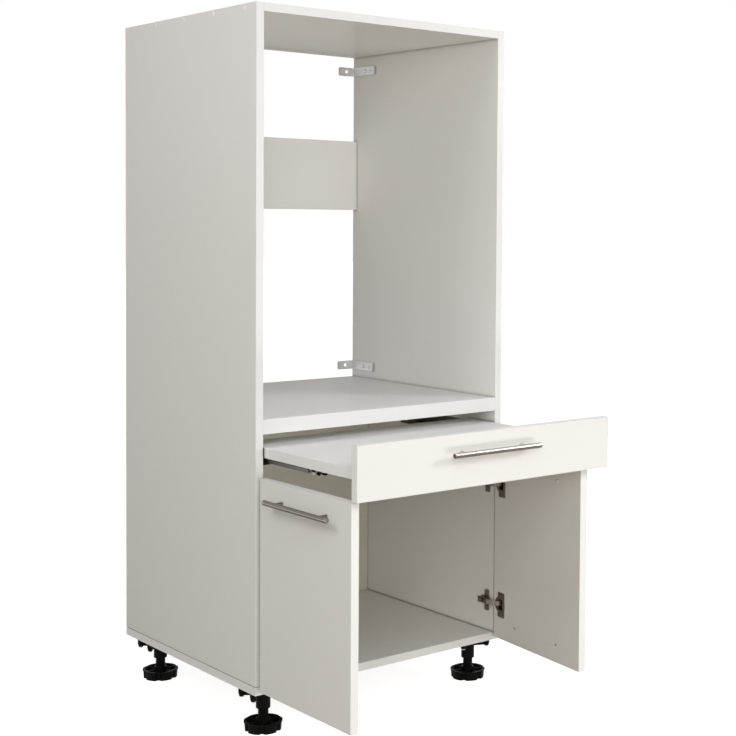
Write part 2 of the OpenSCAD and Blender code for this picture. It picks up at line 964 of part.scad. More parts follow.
// A foot socket: a plate with four screw lugs under the carcass and a sleeve
module foot_socket() {
  difference() {
    union() {
      rod_z(0, 0, base_z - 4, base_z, socket_d);
      box(-lug_out, 0, -lug_pitch / 2, lug_pitch / 2, base_z - 5, base_z);
      lug_places()
        rod_z(0, 0, base_z - lug_h, base_z, lug_d);
      for (k = [-1, 1])
        rotate([0, 0, 180 + k * atan2(lug_pitch / 2, lug_out)])
          box(0, norm([lug_out, lug_pitch / 2]), -2, 2, base_z - lug_h + 1, base_z - 1);
      rod_z(0, 0, base_z - sleeve_l, base_z, sleeve_d);
    }
    rod_z(0, 0, base_z - sleeve_l - 1, base_z + 1, stem_d + 2 * stem_gap);
    socket_screw_rods();
    for (a = [0:60:120])
      rotate([0, 0, a])
        box(-sleeve_d, sleeve_d, -2, 2, base_z - sleeve_l - 1, base_z - sleeve_l + 4);
  }
}

module foot_sockets() {
  color([0.07, 0.07, 0.07])
    foot_places()
      foot_socket();
}

module socket_screws() {
  color([0.6, 0.6, 0.58])
    foot_places() {
      socket_screw_rods();
      lug_places()
        rod_z(0, 0, base_z - lug_h - 2, base_z - lug_h, 8);
    }
}

// A foot's pad: six pockets, six notches, a lipped rim and a bored hub
module foot_pad() {
  difference() {
    union() {
      rod_z(0, 0, 0, pad_h, pad_d);
      rod_z(0, 0, pad_h - 2.5, pad_h, pad_d + 2);
    }
    for (a = [0:60:300])
      rotate([0, 0, a]) {
        rod_z(pad_d * 0.31, 0, 4, pad_h + 1, pad_d * 0.25);
        rotate([0, 0, 30])
          rod_z(pad_d / 2 + 1.5, 0, -1, pad_h + 1, 8);
      }
    rod_z(0, 0, pad_h - 7, pad_h + 1, spigot_d + 0.6);
  }
  difference() {
    rod_z(0, 0, pad_h - 6, pad_h + hub_up, stem_d + 6);
    rod_z(0, 0, pad_h - 7, pad_h + hub_up + 1, spigot_d + 0.6);
  }
}

// A foot's threaded stem, standing on the hub with a spigot in its bore
module foot_stem() {
  rod_z(0, 0, pad_h - 6, pad_h + hub_up, spigot_d);
  rod_z(0, 0, pad_h + hub_up, base_z - 5, stem_d - 2 * thread_d);
  for (z = [pad_h + hub_up + 3:thread_pitch:base_z - 7])
    rod_z(0, 0, z, z + thread_pitch / 2, stem_d);
}

module at_foot(side, y) {
  color([0.07, 0.07, 0.07])
    hand(side)
      translate([-half_w + foot_in_x, y, 0])
        rotate([0, 0, -side * pad_turn])
          children();
}

module foot_front_left() {
  at_foot(-1, front_y + foot_front)
    foot_pad();
}

module foot_front_right() {
  at_foot(1, front_y + foot_front)
    foot_pad();
}

module foot_rear_left() {
  at_foot(-1, rear_y - foot_rear)
    foot_pad();
}

module foot_rear_right() {
  at_foot(1, rear_y - foot_rear)
    foot_pad();
}

module stem_front_left() {
  at_foot(-1, front_y + foot_front)
    foot_stem();
}

module stem_front_right() {
  at_foot(1, front_y + foot_front)
    foot_stem();
}

module stem_rear_left() {
  at_foot(-1, rear_y - foot_rear)
    foot_stem();
}

module stem_rear_right() {
  at_foot(1, rear_y - foot_rear)
    foot_stem();
}

left_side_panel();
right_side_panel();
top_panel();
bottom_panel();
appliance_shelf();
back_rail();
lower_back_panel();
top_screws();
top_screw_caps();
bottom_screws();
shelf_dowels();
rail_dowels();
bracket_upper_left();
bracket_upper_right();
bracket_lower_left();
bracket_lower_right();
bracket_screws();
runner_left();
runner_right();
runner_end_caps();
runner_screws();
slide_left();
slide_right();
rider_left();
rider_right();
rider_screws();
pull_out_board();
pull_out_front();
front_dowels();
board_clips();
clip_levers();
pull_out_handle();
pull_out_handle_screws();
left_door();
left_handle();
left_handle_screws();
left_hinge_cups();
left_cup_screws();
right_door();
right_handle();
right_handle_screws();
right_hinge_cups();
right_cup_screws();
left_hinge_plates();
right_hinge_plates();
left_hinge_arms();
right_hinge_arms();
plate_screws();
arm_screws();
foot_sockets();
socket_screws();
foot_front_left();
foot_front_right();
foot_rear_left();
foot_rear_right();
stem_front_left();
stem_front_right();
stem_rear_left();
stem_rear_right();
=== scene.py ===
from math import atan2, cos, pi, radians, sin

import bmesh
import bpy
from mathutils import Matrix, Vector


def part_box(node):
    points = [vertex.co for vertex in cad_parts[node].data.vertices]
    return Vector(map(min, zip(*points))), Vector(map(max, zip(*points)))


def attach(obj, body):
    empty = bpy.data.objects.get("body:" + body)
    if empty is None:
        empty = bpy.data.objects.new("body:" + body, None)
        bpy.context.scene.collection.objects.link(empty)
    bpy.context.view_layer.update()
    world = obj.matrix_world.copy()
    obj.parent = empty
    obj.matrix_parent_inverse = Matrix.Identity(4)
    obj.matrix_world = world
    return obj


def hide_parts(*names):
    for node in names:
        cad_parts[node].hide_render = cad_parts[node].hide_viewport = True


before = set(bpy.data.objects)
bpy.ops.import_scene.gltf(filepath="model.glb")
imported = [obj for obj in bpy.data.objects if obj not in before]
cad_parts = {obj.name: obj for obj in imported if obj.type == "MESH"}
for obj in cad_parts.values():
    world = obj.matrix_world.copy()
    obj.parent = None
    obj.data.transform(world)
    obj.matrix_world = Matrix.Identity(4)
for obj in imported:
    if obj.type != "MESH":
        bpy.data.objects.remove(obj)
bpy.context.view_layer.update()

# ---------------- photo studio
# The cabinet stands on a pale studio floor and is seen from its front left with a
# long lens, a little under a metre up. The key lamp shines from the right, and broad
# ones fill the top, the left side, the front and the foot of the cabinet.

lens_mm = 70.67
picture_px = 736
sight_x_px, sight_y_px = 520, 279.2
camera_at = (-1.6989, -2.5970, 0.9797)
camera_yaw, camera_dip, camera_roll = -0.7212, 0.04, 0.0094

studio = bpy.context.scene
camera_data = bpy.data.cameras.new("camera")
camera_data.sensor_width = 36
camera_data.lens = lens_mm
camera_data.shift_x = (picture_px / 2 - sight_x_px) / picture_px
camera_data.shift_y = (sight_y_px - picture_px / 2) / picture_px
camera_data.clip_end = 60
camera = bpy.data.objects.new("camera", camera_data)
studio.collection.objects.link(camera)
turn = (Matrix.Rotation(camera_yaw, 4, "Z") @ Matrix.Rotation(pi / 2 - camera_dip, 4, "X")
        @ Matrix.Rotation(camera_roll, 4, "Z"))
camera.matrix_world = Matrix.Translation(camera_at) @ turn
studio.camera = camera
studio.view_settings.view_transform = "Standard"

for name, kind, place, aim, power, colour, size in (
        ("key_lamp", "AREA", (1.95, -2.03, 1.55), (0, -0.4, 0.6), 23, (0.98, 0.99, 1.0), (0.5, 0.5)),
        ("top_lamp", "SUN", (-0.3, -0.9, 4.0), (0, -0.2, 0.7), 0.3, (0.97, 0.98, 1.0), radians(50)),
        ("upper_left_lamp", "AREA", (-2.2, -0.3, 2.2), (-0.3, 0.0, 0.9), 15, (1.0, 1.0, 0.98), (1.0, 1.0)),
        ("left_lamp", "AREA", (-1.0, -1.9, 1.6), (-0.3, -0.25, 0.9), 7, (0.86, 0.92, 1.0), (0.7, 0.7)),
        ("near_lamp", "AREA", (-1.4, -2.3, 1.2), (-0.2, -0.3, 0.5), 4.5, (1.0, 0.92, 0.82), (1.1, 1.1)),
        ("fill_lamp", "AREA", (-2.1, -3.3, 1.1), (0.1, 0, 0.7), 26, (1.0, 0.95, 0.89), (1.6, 1.3)),
        ("front_lamp", "AREA", (0.6, -3.8, 1.5), (0, 0.2, 1.1), 7, (0.97, 0.98, 1.0), (1.6, 1.2)),
        ("foot_lamp", "AREA", (0.2, -1.7, 0.12), (0.1, -0.26, 0.1), 3.9, (1.0, 0.99, 0.98), (0.9, 0.2))):
    lamp = bpy.data.lights.new(name, kind)
    lamp.energy = power
    lamp.color = colour
    if kind == "SUN":
        lamp.angle = size
    else:
        lamp.shape = "RECTANGLE"
        lamp.size, lamp.size_y = size
    holder = bpy.data.objects.new(name, lamp)
    studio.collection.objects.link(holder)
    way = (Vector(aim) - Vector(place)).to_track_quat("-Z", "Y").to_matrix().to_4x4()
    holder.matrix_world = Matrix.Translation(place) @ way
    holder.visible_camera = False


def feed(tree, node, inputs):
    """Gives each input of a node its value, or links it to another node's output."""
    for key, given in inputs.items():
        if isinstance(given, bpy.types.NodeSocket):
            tree.links.new(given, node.inputs[key])
        else:
            node.inputs[key].default_value = given


def add(tree, kind, inputs, **settings):
    """Adds a shader node, sets and feeds it, and gives back its outputs."""
    node = tree.nodes.new("ShaderNode" + kind)
    for label, setting in settings.items():
        setattr(node, label, setting)
    feed(tree, node, inputs)
    return node.outputs


def reckon(tree, operation, *values):
    """Works out a number from others."""
    return add(tree, "Math", dict(enumerate(values)), operation=operation)[0]


def seen_as(tree, lighting, looks):
    """Lights the cabinet as one shader does, and looks like another to the eye, mirrors and glass."""
    rays = add(tree, "LightPath", {})
    seen = reckon(tree, "MAXIMUM", rays["Is Camera Ray"], rays["Is Glossy Ray"])
    seen = reckon(tree, "MAXIMUM", seen, rays["Is Transmission Ray"])
    return add(tree, "MixShader", {0: seen, 1: lighting, 2: looks})[0]


world = bpy.data.worlds.new("studio")
studio.world = world
world.use_nodes = True
sky = world.node_tree
soft = sky.nodes["Background"]
feed(sky, soft, {"Color": (0.93, 0.95, 1.0, 1), "Strength": 0.29})
bright = add(sky, "Background", {"Color": (1, 1, 1, 1)})[0]
feed(sky, sky.nodes["World Output"], {"Surface": seen_as(sky, soft.outputs[0], bright)})

# The floor is pale paper. It looks white and keeps the cabinet's soft shadow,
# and what it throws back onto the cabinet is dimmer and warmer.
floor_mesh = bpy.data.meshes.new("studio_floor")
floor_shape = bmesh.new()
bmesh.ops.create_grid(floor_shape, x_segments=1, y_segments=1, size=25)
floor_shape.to_mesh(floor_mesh)
floor_shape.free()
studio_floor = bpy.data.objects.new("studio_floor", floor_mesh)
studio.collection.objects.link(studio_floor)

paper = bpy.data.materials.new("studio_paper")
paper.use_nodes = True
floor_mesh.materials.append(paper)
sheet = paper.node_tree
thrown = sheet.nodes["Principled BSDF"]
feed(sheet, thrown, {"Base Color": (0.36, 0.315, 0.245, 1), "Roughness": 0.9, "Specular IOR Level": 0})
matt_white = add(sheet, "BsdfDiffuse", {"Color": (0.55, 0.55, 0.55, 1)})[0]
glow = add(sheet, "Emission", {"Strength": 0.89})[0]
shown = add(sheet, "AddShader", {0: matt_white, 1: glow})[0]
feed(sheet, sheet.nodes["Material Output"], {"Surface": seen_as(sheet, thrown.outputs[0], shown)})

# ---------------- carcass boards
# Chipboard faced with white melamine, a satin skin with a very fine pearl grain.
# Each front edge is closed with a glued white plastic band, a hair's breadth thick,
# and every arris is eased by the trimming cutter.


def effect_group(name, inputs, outputs):
    """Starts a group of shader nodes with named inputs and outputs."""
    group = bpy.data.node_groups.new(name, "ShaderNodeTree")
    for label, value in inputs.items():
        kind = "Float" if isinstance(value, float) else {3: "Vector", 4: "Color"}[len(value)]
        socket = group.interface.new_socket(label, in_out="INPUT", socket_type="NodeSocket" + kind)
        socket.default_value = value
    for label, kind in outputs.items():
        group.interface.new_socket(label, in_out="OUTPUT", socket_type="NodeSocket" + kind)
    return group, group.nodes.new("NodeGroupInput").outputs, group.nodes.new("NodeGroupOutput")


def blended(tree, share, one, other):
    """Takes one colour over into another by a share."""
    return add(tree, "Mix", {"Factor": share, "A": one, "B": other}, data_type="RGBA")["Result"]


def surface_grain_group():
    """Fine grain with slow clouding: colour, roughness and height."""
    group, given, made = effect_group(
        "surface_grain",
        {"Main": (0.8, 0.8, 0.8, 1), "Cloud": (0.7, 0.7, 0.7, 1), "Cloud Scale": 3.0, "Grain Scale": 900.0,
         "Stretch": (1, 1, 1), "Smooth": 0.25, "Rough": 0.35},
        {"Color": "Color", "Roughness": "Float", "Height": "Float"})
    spot = add(group, "TexCoord", {})["Object"]
    drawn_out = add(group, "Mapping", {"Vector": spot, "Scale": given["Stretch"]})["Vector"]
    cloud = add(group, "TexNoise", {"Vector": spot, "Scale": given["Cloud Scale"], "Detail": 3})["Fac"]
    grain = add(group, "TexNoise", {"Vector": drawn_out, "Scale": given["Grain Scale"], "Detail": 4})["Fac"]
    both = reckon(group, "MULTIPLY_ADD", cloud, 0.6, reckon(group, "MULTIPLY", grain, 0.4))
    spread = add(group, "MapRange", {"Value": both, "From Min": 0.35, "From Max": 0.65})["Result"]
    gloss = add(group, "MapRange", {"Value": both, "From Min": 0.3, "From Max": 0.7,
                                    "To Min": given["Smooth"], "To Max": given["Rough"]})["Result"]
    feed(group, made, {"Color": blended(group, spread, given["Main"], given["Cloud"]),
                       "Roughness": gloss, "Height": grain})
    return group


def edge_wear_group():
    """Finds the arrises of a piece and rubs them to another colour, in patches."""
    group, given, made = effect_group(
        "edge_wear",
        {"Color": (0.8, 0.8, 0.8, 1), "Worn": (1, 1, 1, 1), "Roughness": 0.3, "Radius": 0.001, "Amount": 0.5},
        {"Color": "Color", "Roughness": "Float", "Mask": "Float"})
    rounded = add(group, "Bevel", {"Radius": given["Radius"]}, samples=4)["Normal"]
    flat = add(group, "NewGeometry", {})["Normal"]
    alike = add(group, "VectorMath", {0: rounded, 1: flat}, operation="DOT_PRODUCT")["Value"]
    edge = add(group, "MapRange", {"Value": alike, "From Min": 0.995, "From Max": 0.8})["Result"]
    spot = add(group, "TexCoord", {})["Object"]
    patches = add(group, "TexNoise", {"Vector": spot, "Scale": 60})["Fac"]
    broken = reckon(group, "MULTIPLY", edge, patches)
    mask = add(group, "Math", {0: broken, 1: given["Amount"]}, operation="MULTIPLY", use_clamp=True)[0]
    feed(group, made, {"Color": blended(group, mask, given["Color"], given["Worn"]), "Mask": mask,
                       "Roughness": reckon(group, "MULTIPLY_ADD", mask, 0.15, given["Roughness"])})
    return group


def painted_crevice_shade_group():
    """Painted shade: darkens a surface where another stands close by, as in the joints between boards."""
    group, given, made = effect_group(
        "painted_crevice_shade",
        {"Color": (0.8, 0.8, 0.8, 1), "Distance": 0.01, "Amount": 0.6},
        {"Color": "Color"})
    near = add(group, "AmbientOcclusion", {"Distance": given["Distance"]}, samples=6)["AO"]
    depth = add(group, "MapRange", {"Value": near, "From Min": 0.82, "From Max": 0.4, "To Min": 0.0,
                                    "To Max": given["Amount"]})["Result"]
    # The dark brown that the painted shade goes towards.
    feed(group, made, {"Color": blended(group, depth, given["Color"], (0.07, 0.057, 0.048, 1))})
    return group


surface_grain = surface_grain_group()
painted_crevice_shade = painted_crevice_shade_group()
edge_wear = edge_wear_group()
grain_depth = 0.0002


def finish(name, main, cloud, worn, smooth, rough, grain_scale, bump, metal=0.0,
           stretch=(1, 1, 1), cloud_scale=3.0, wear=0.5, radius=0.0008, specular=0.5, coat=0.0,
           painted_shade_amount=0.0):
    """Mixes one surface finish from its colours, gloss and grain, with painted shade in its crevices where
    asked.
    """
    made = bpy.data.materials.new(name)
    made.use_nodes = True
    tree = made.node_tree
    grain = add(tree, "Group", {
        "Main": (*main, 1), "Cloud": (*cloud, 1), "Cloud Scale": cloud_scale, "Grain Scale": grain_scale,
        "Stretch": stretch, "Smooth": smooth, "Rough": rough}, node_tree=surface_grain)
    rub = add(tree, "Group", {
        "Color": grain["Color"], "Roughness": grain["Roughness"], "Worn": (*worn, 1), "Radius": radius,
        "Amount": wear}, node_tree=edge_wear)
    relief = add(tree, "Bump", {"Height": grain["Height"], "Strength": bump, "Distance": grain_depth})
    colour = rub["Color"]
    # Painted shade, from ambient occlusion, where another surface stands close.
    if painted_shade_amount:
        colour = add(tree, "Group", {"Color": colour, "Amount": painted_shade_amount}, node_tree=painted_crevice_shade)["Color"]
    feed(tree, tree.nodes["Principled BSDF"], {
        "Base Color": colour, "Roughness": rub["Roughness"], "Normal": relief["Normal"], "Metallic": metal,
        "Specular IOR Level": specular, "Coat Weight": coat, "Coat Roughness": 0.12})
    return made


# Both white finishes carry painted shade in joints and narrow gaps.
melamine = finish("white_melamine", (0.86, 0.85, 0.822), (0.845, 0.833, 0.802), (0.9, 0.893, 0.875),
                  0.3, 0.4, 1300, 0.06, cloud_scale=2.2, wear=0.35, radius=0.0006, specular=0.0,
                  coat=0.14, painted_shade_amount=0.5)
edge_band = finish("white_edge_band", (0.885, 0.88, 0.866), (0.87, 0.863, 0.846), (0.92, 0.914, 0.9),
                   0.26, 0.34, 700, 0.08, cloud_scale=9, wear=0.3, radius=0.0004, specular=0.1,
                   painted_shade_amount=0.95)


def block(low, high):
    """A squared block between two corners."""
    shape = bmesh.new()
    bmesh.ops.create_cube(shape, size=1)
    low, high = Vector(low), Vector(high)
    bmesh.ops.scale(shape, vec=high - low, verts=shape.verts)
    bmesh.ops.translate(shape, vec=(low + high) / 2, verts=shape.verts)
    return shape


def join(body_shape, part, place=Matrix()):
    """Sets a shape into a piece at its place."""
    part.transform(place)
    held = bpy.data.meshes.new("part")
    part.to_mesh(held)
    part.free()
    body_shape.from_mesh(held)
    bpy.data.meshes.remove(held)


def piece(name, shape, coat, body, node=None, ease=0.0):
    """Finishes a piece: faces outwards, its coat, eased arrises, its body and the node it stands for."""
    bmesh.ops.recalc_face_normals(shape, faces=shape.faces)
    for face in shape.faces:
        face.smooth = True
    mesh = bpy.data.meshes.new(name)
    shape.to_mesh(mesh)
    shape.free()
    mesh.materials.append(coat)
    made = bpy.data.objects.new(name, mesh)
    studio.collection.objects.link(made)
    if ease:
        arris = made.modifiers.new("eased_edges", "BEVEL")
        arris.width = ease
        arris.segments = 3
        arris.limit_method = "ANGLE"
        arris.angle_limit = radians(38)
        arris.harden_normals = True
    else:
        mesh.set_sharp_from_angle(angle=radians(35))
    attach(made, body)
    if node:
        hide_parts(node)
    return made


band_t = 0.0008
band_ease, board_ease = 0.0003, 0.00035
band_names = {"-x": "left", "+x": "right", "-y": "front", "+y": "rear", "-z": "lower", "+z": "upper"}


def glue_bands(name, low, high, banded, body, names=band_names, place=Matrix()):
    """Glues a band on each named edge in turn, and gives back the corners of the board inside."""
    low, high = Vector(low), Vector(high)
    for side in banded:
        axis = "xyz".index(side[1])
        band_low, band_high = low.copy(), high.copy()
        if side[0] == "-":
            band_high[axis] = low[axis] = low[axis] + band_t
        else:
            band_low[axis] = high[axis] = high[axis] - band_t
        strip = bmesh.new()
        join(strip, block(band_low, band_high), place)
        piece(name + "_" + names[side] + "_band", strip, edge_band, body, ease=band_ease)
    return low, high


def banded_board(node, banded, body, lift=0):
    """A board of the frame with its glued bands, lifted clear of the board that it stands on."""
    low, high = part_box(node)
    low.z += lift
    low, high = glue_bands(node, low, high, banded, body)
    piece(node + "_board", block(low, high), melamine, body, node, ease=board_ease)


side_lift = 0.0012
for node, banded, lift in (
        ("left_side_panel", ["-y", "+z", "+y"], side_lift),
        ("right_side_panel", ["-y", "+z", "+y"], side_lift), ("top_panel", ["-y"], 0),
        ("bottom_panel", ["-y", "-x", "+x"], 0), ("appliance_shelf", ["-y"], 0),
        ("back_rail", ["-z", "+z"], 0)):
    banded_board(node, banded, "carcass", lift)

# ---------------- lower back panel
# A thin hardboard sheet, painted white on the cupboard's side and bare at the rear,
# that slides into grooves of the sides, the bottom and the shelf.

painted_hardboard = finish("painted_hardboard", (0.74, 0.72, 0.64), (0.71, 0.69, 0.605),
                           (0.62, 0.5, 0.36), 0.36, 0.46, 420, 0.16, cloud_scale=3.5, wear=0.4,
                           radius=0.0005)
bare_hardboard = finish("bare_hardboard", (0.36, 0.24, 0.145), (0.29, 0.185, 0.105), (0.42, 0.3, 0.2),
                        0.55, 0.7, 300, 0.35, cloud_scale=14, wear=0.4, radius=0.0005)
back_sheet = piece("lower_back_sheet", block(*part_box("lower_back_panel")), painted_hardboard, "carcass",
                   "lower_back_panel", ease=0.0004)
back_sheet.data.materials.append(bare_hardboard)
for face in back_sheet.data.polygons:
    if face.normal.y > 0.9:
        face.material_index = 1

# ---------------- screws and dowels in the joints
# Long zinc-plated screws hold the top and the bottom, fluted beech dowels hold the
# shelf, the rail and the pull-out's front. Round white caps close the side bores.

zinc = finish("zinc_plate", (0.66, 0.66, 0.64), (0.52, 0.52, 0.5), (0.8, 0.8, 0.78), 0.28, 0.42, 600,
              0.2, metal=1.0, cloud_scale=120, radius=0.0003)
beech = finish("beech", (0.62, 0.42, 0.24), (0.48, 0.3, 0.16), (0.7, 0.52, 0.32), 0.5, 0.65, 240, 0.5,
               stretch=(0.08, 1, 1), cloud_scale=30, wear=0.3)
cap_white = finish("cap_white", (0.88, 0.88, 0.87), (0.86, 0.86, 0.85), (0.93, 0.93, 0.92), 0.3, 0.38,
                   900, 0.08, cloud_scale=40, wear=0.2, radius=0.0004)


def turned(outline, steps=32):
    """Turns an outline of radius and height pairs round the upright axis."""
    shape = bmesh.new()
    points = [shape.verts.new((radius, 0, height)) for radius, height in outline]
    edges = [shape.edges.new(pair) for pair in zip(points, points[1:])]
    bmesh.ops.spin(shape, geom=points + edges, axis=(0, 0, 1), cent=(0, 0, 0), angle=2 * pi,
                   steps=steps, use_merge=True)
    bmesh.ops.remove_doubles(shape, verts=shape.verts, dist=1e-6)
    bmesh.ops.recalc_face_normals(shape, faces=shape.faces)
    return shape


def standing(origin, way):
    """The place of a turned piece: its foot and the way its axis points."""
    return Matrix.Translation(origin) @ Vector(way).to_track_quat("Z", "Y").to_matrix().to_4x4()


def coat_node(node, coat):
    """Gives a solid of the construction its finish."""
    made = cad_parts[node]
    made.data.materials.clear()
    made.data.materials.append(coat)


for node in ("top_screws", "bottom_screws"):
    coat_node(node, zinc)
for node in ("shelf_dowels", "rail_dowels", "front_dowels"):
    coat_node(node, beech)

caps_a_side = 4
cap_seat_depth = 0.001
cap_low, cap_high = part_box("top_screw_caps")
cap_r = (cap_high.z - cap_low.z) / 2
cap_outline = [(0, 0), (cap_r, 0), (cap_r, 0.00105), (cap_r - 0.0004, 0.0013), (0, 0.00145)]
cap_run = cap_high.y - cap_low.y - 2 * cap_r
cap_shape = bmesh.new()
for hand in (-1, 1):
    for number in range(caps_a_side):
        seat = (hand * (cap_high.x - cap_seat_depth),
                cap_low.y + cap_r + number * cap_run / (caps_a_side - 1), cap_high.z - cap_r)
        join(cap_shape, turned(cap_outline, 40), standing(seat, (hand, 0, 0)))
piece("top_screw_cap_set", cap_shape, cap_white, "carcass", "top_screw_caps")

# ---------------- wall brackets
# Four angles of zinc-plated sheet. One leg is screwed to the side panel and has a
# turned lip and a spare hole, the other takes the wall screw through its large hole.

bracket_steel = finish("bracket_steel", (0.7, 0.7, 0.69), (0.62, 0.62, 0.61), (0.82, 0.82, 0.81), 0.34,
                       0.46, 500, 0.15, metal=0.55, cloud_scale=60, wear=0.6, radius=0.0005)


def punched(corners, holes, facing, segments=28):
    """A flat sheet with an outline of corners and round holes of centre and radius."""
    shape = bmesh.new()
    points = [shape.verts.new(corner) for corner in corners]
    for number, point in enumerate(points):
        shape.edges.new((point, points[number - 1]))
    for centre, radius in holes:
        bmesh.ops.create_circle(shape, segments=segments, radius=radius, matrix=standing(centre, facing))
    bmesh.ops.triangle_fill(shape, edges=shape.edges[:], use_beauty=True, normal=facing)
    return shape


def bend(start, end, centre, angle, steps=6):
    """The rounded fold that follows a sheet's edge round an upright axis."""
    shape = bmesh.new()
    points = [shape.verts.new(start), shape.verts.new(end)]
    bmesh.ops.spin(shape, geom=points + [shape.edges.new(points)], cent=centre, axis=(0, 0, 1),
                   angle=angle, steps=steps)
    return shape


def thicken(shape, thickness, inside):
    """Gives a folded sheet its thickness towards a point inside it."""
    bmesh.ops.remove_doubles(shape, verts=shape.verts, dist=2e-6)
    bmesh.ops.recalc_face_normals(shape, faces=shape.faces)
    largest = max(shape.faces, key=lambda face: face.calc_area())
    if (Vector(inside) - largest.calc_center_median()).dot(largest.normal) > 0:
        bmesh.ops.reverse_faces(shape, faces=shape.faces)
    bmesh.ops.solidify(shape, geom=shape.faces[:], thickness=thickness)
    return shape


def draw_out(shape, edges, way):
    """Draws edges out along a way, and gives back their new ends and the new edges."""
    drawn = bmesh.ops.extrude_edge_only(shape, edges=edges)["geom"]
    ends = [item for item in drawn if isinstance(item, bmesh.types.BMVert)]
    bmesh.ops.translate(shape, vec=way, verts=ends)
    return ends, [item for item in drawn if isinstance(item, bmesh.types.BMEdge)]


def drive_head(radius, height, shank_radius, shank):
    """A pan head with a cross recess, its seat at the foot, and a plain shank below."""
    shape = bmesh.new()
    crown = 0.82
    bmesh.ops.create_circle(shape, segments=24, radius=radius * crown,
                            matrix=Matrix.Translation((0, 0, height)))
    ring = shape.edges[:]
    arm, half = radius * 0.55, radius * 0.13
    cross = [shape.verts.new((x, y, height)) for x, y in (
        (arm, -half), (arm, half), (half, half), (half, arm), (-half, arm), (-half, half),
        (-arm, half), (-arm, -half), (-half, -half), (-half, -arm), (half, -arm), (half, -half))]
    cross_edges = [shape.edges.new((vert, cross[number - 1])) for number, vert in enumerate(cross)]
    bmesh.ops.triangle_fill(shape, edges=ring + cross_edges, use_beauty=True, normal=(0, 0, 1))
    sunk, floor_edges = draw_out(shape, cross_edges, (0, 0, -height * 0.6))
    bmesh.ops.scale(shape, vec=(0.6, 0.6, 1), verts=sunk)
    bmesh.ops.contextual_create(shape, geom=floor_edges)
    for wider, down in ((1 / crown, height * 0.35), (1, height * 0.65), (shank_radius / radius, 0),
                        (1, shank), (0.2, shank_radius)):
        ends, ring = draw_out(shape, ring, (0, 0, -down))
        bmesh.ops.scale(shape, vec=(wider, wider, 1), verts=ends)
    bmesh.ops.contextual_create(shape, geom=ring)
    bmesh.ops.recalc_face_normals(shape, faces=shape.faces)
    return shape


bracket_t, bracket_r = 0.0025, 0.0045
lip_w, lip_r = 0.006, 0.0035
corner_cut = 0.003
spare_at, spare_r = 0.017, 0.0015
wall_hole_at, wall_hole_r = 0.022, 0.004
for level in ("upper", "lower"):
    for side, hand in (("left", 1), ("right", -1)):
        node = "bracket_" + level + "_" + side
        low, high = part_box(node)
        x0, x1 = sorted((low.x * hand, high.x * hand))
        y0, y1, z0, z1 = low.y, high.y, low.z, high.z
        mid, lip_x, lip_y = (z0 + z1) / 2, x0 + lip_r, y0 + lip_r
        wall_x, flat_y = x0 + bracket_r, y1 - bracket_r
        fold = bmesh.new()
        join(fold, punched([(x0, lip_y, z0), (x0, flat_y, z0), (x0, flat_y, z1), (x0, lip_y, z1)],
                           [((x0, y0 + spare_at, mid), spare_r)], (1, 0, 0)))
        join(fold, bend((x0, flat_y, z0), (x0, flat_y, z1), (wall_x, flat_y, 0), -pi / 2))
        join(fold, punched([(wall_x, y1, z0), (x1 - corner_cut, y1, z0), (x1, y1, z0 + corner_cut),
                            (x1, y1, z1 - corner_cut), (x1 - corner_cut, y1, z1), (wall_x, y1, z1)],
                           [((x0 + wall_hole_at, y1, mid), wall_hole_r)], (0, 1, 0)))
        join(fold, bend((x0, lip_y, z0), (x0, lip_y, z1), (lip_x, lip_y, 0), pi / 2))
        join(fold, punched([(lip_x, y0, z0), (x0 + lip_w, y0, z0), (x0 + lip_w, y0, z1), (lip_x, y0, z1)], [],
                           (0, 1, 0)))
        thicken(fold, bracket_t, (x0 + 0.03, y1 - 0.04, mid))
        bmesh.ops.transform(fold, matrix=Matrix.Scale(hand, 4, (1, 0, 0)), verts=fold.verts)
        piece(node + "_angle", fold, bracket_steel, "carcass", node, ease=0.0003)

bracket_face = 0.2815
screw_low, screw_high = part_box("bracket_screws")
bracket_screw_shape = bmesh.new()
for hand in (-1, 1):
    for node in ("bracket_upper_left", "bracket_lower_left"):
        low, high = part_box(node)
        join(bracket_screw_shape, drive_head(0.004, 0.0022, 0.0019, 0.0125),
             standing((hand * bracket_face, (screw_low.y + screw_high.y) / 2, (low.z + high.z) / 2),
                      (-hand, 0, 0)))
piece("bracket_screw_set", bracket_screw_shape, zinc, "carcass", "bracket_screws")

# ---------------- runners
# Dark steel sections of three members on each side: a channel with a flange screwed to
# the side panel, a shallow channel that runs in it, and a rail under the pull-out board.

runner_steel = finish("runner_steel", (0.13, 0.118, 0.108), (0.09, 0.082, 0.075), (0.3, 0.28, 0.26),
                      0.3, 0.45, 260, 0.2, metal=1.0, stretch=(1, 0.05, 1), cloud_scale=25, wear=0.7,
                      radius=0.0005)
black_plastic = finish("black_plastic", (0.004, 0.0037, 0.0036), (0.0065, 0.006, 0.0058),
                       (0.018, 0.017, 0.016), 0.34, 0.46, 800, 0.25, cloud_scale=50,
                       radius=0.0006, specular=0.04)


def rolled(path, fold_radius, y_from, y_to, thickness, inside):
    """A rolled section: a path of x and z, rounded at its folds, drawn along y and thickened."""
    shape = bmesh.new()
    points = [shape.verts.new((x, y_from, z)) for x, z in path]
    for pair in zip(points, points[1:]):
        shape.edges.new(pair)
    bmesh.ops.bevel(shape, geom=points[1:-1], offset=fold_radius, segments=4, profile=0.5,
                    affect="VERTICES", material=-1)
    draw_out(shape, shape.edges[:], (0, y_to - y_from, 0))
    return thicken(shape, thickness, inside)


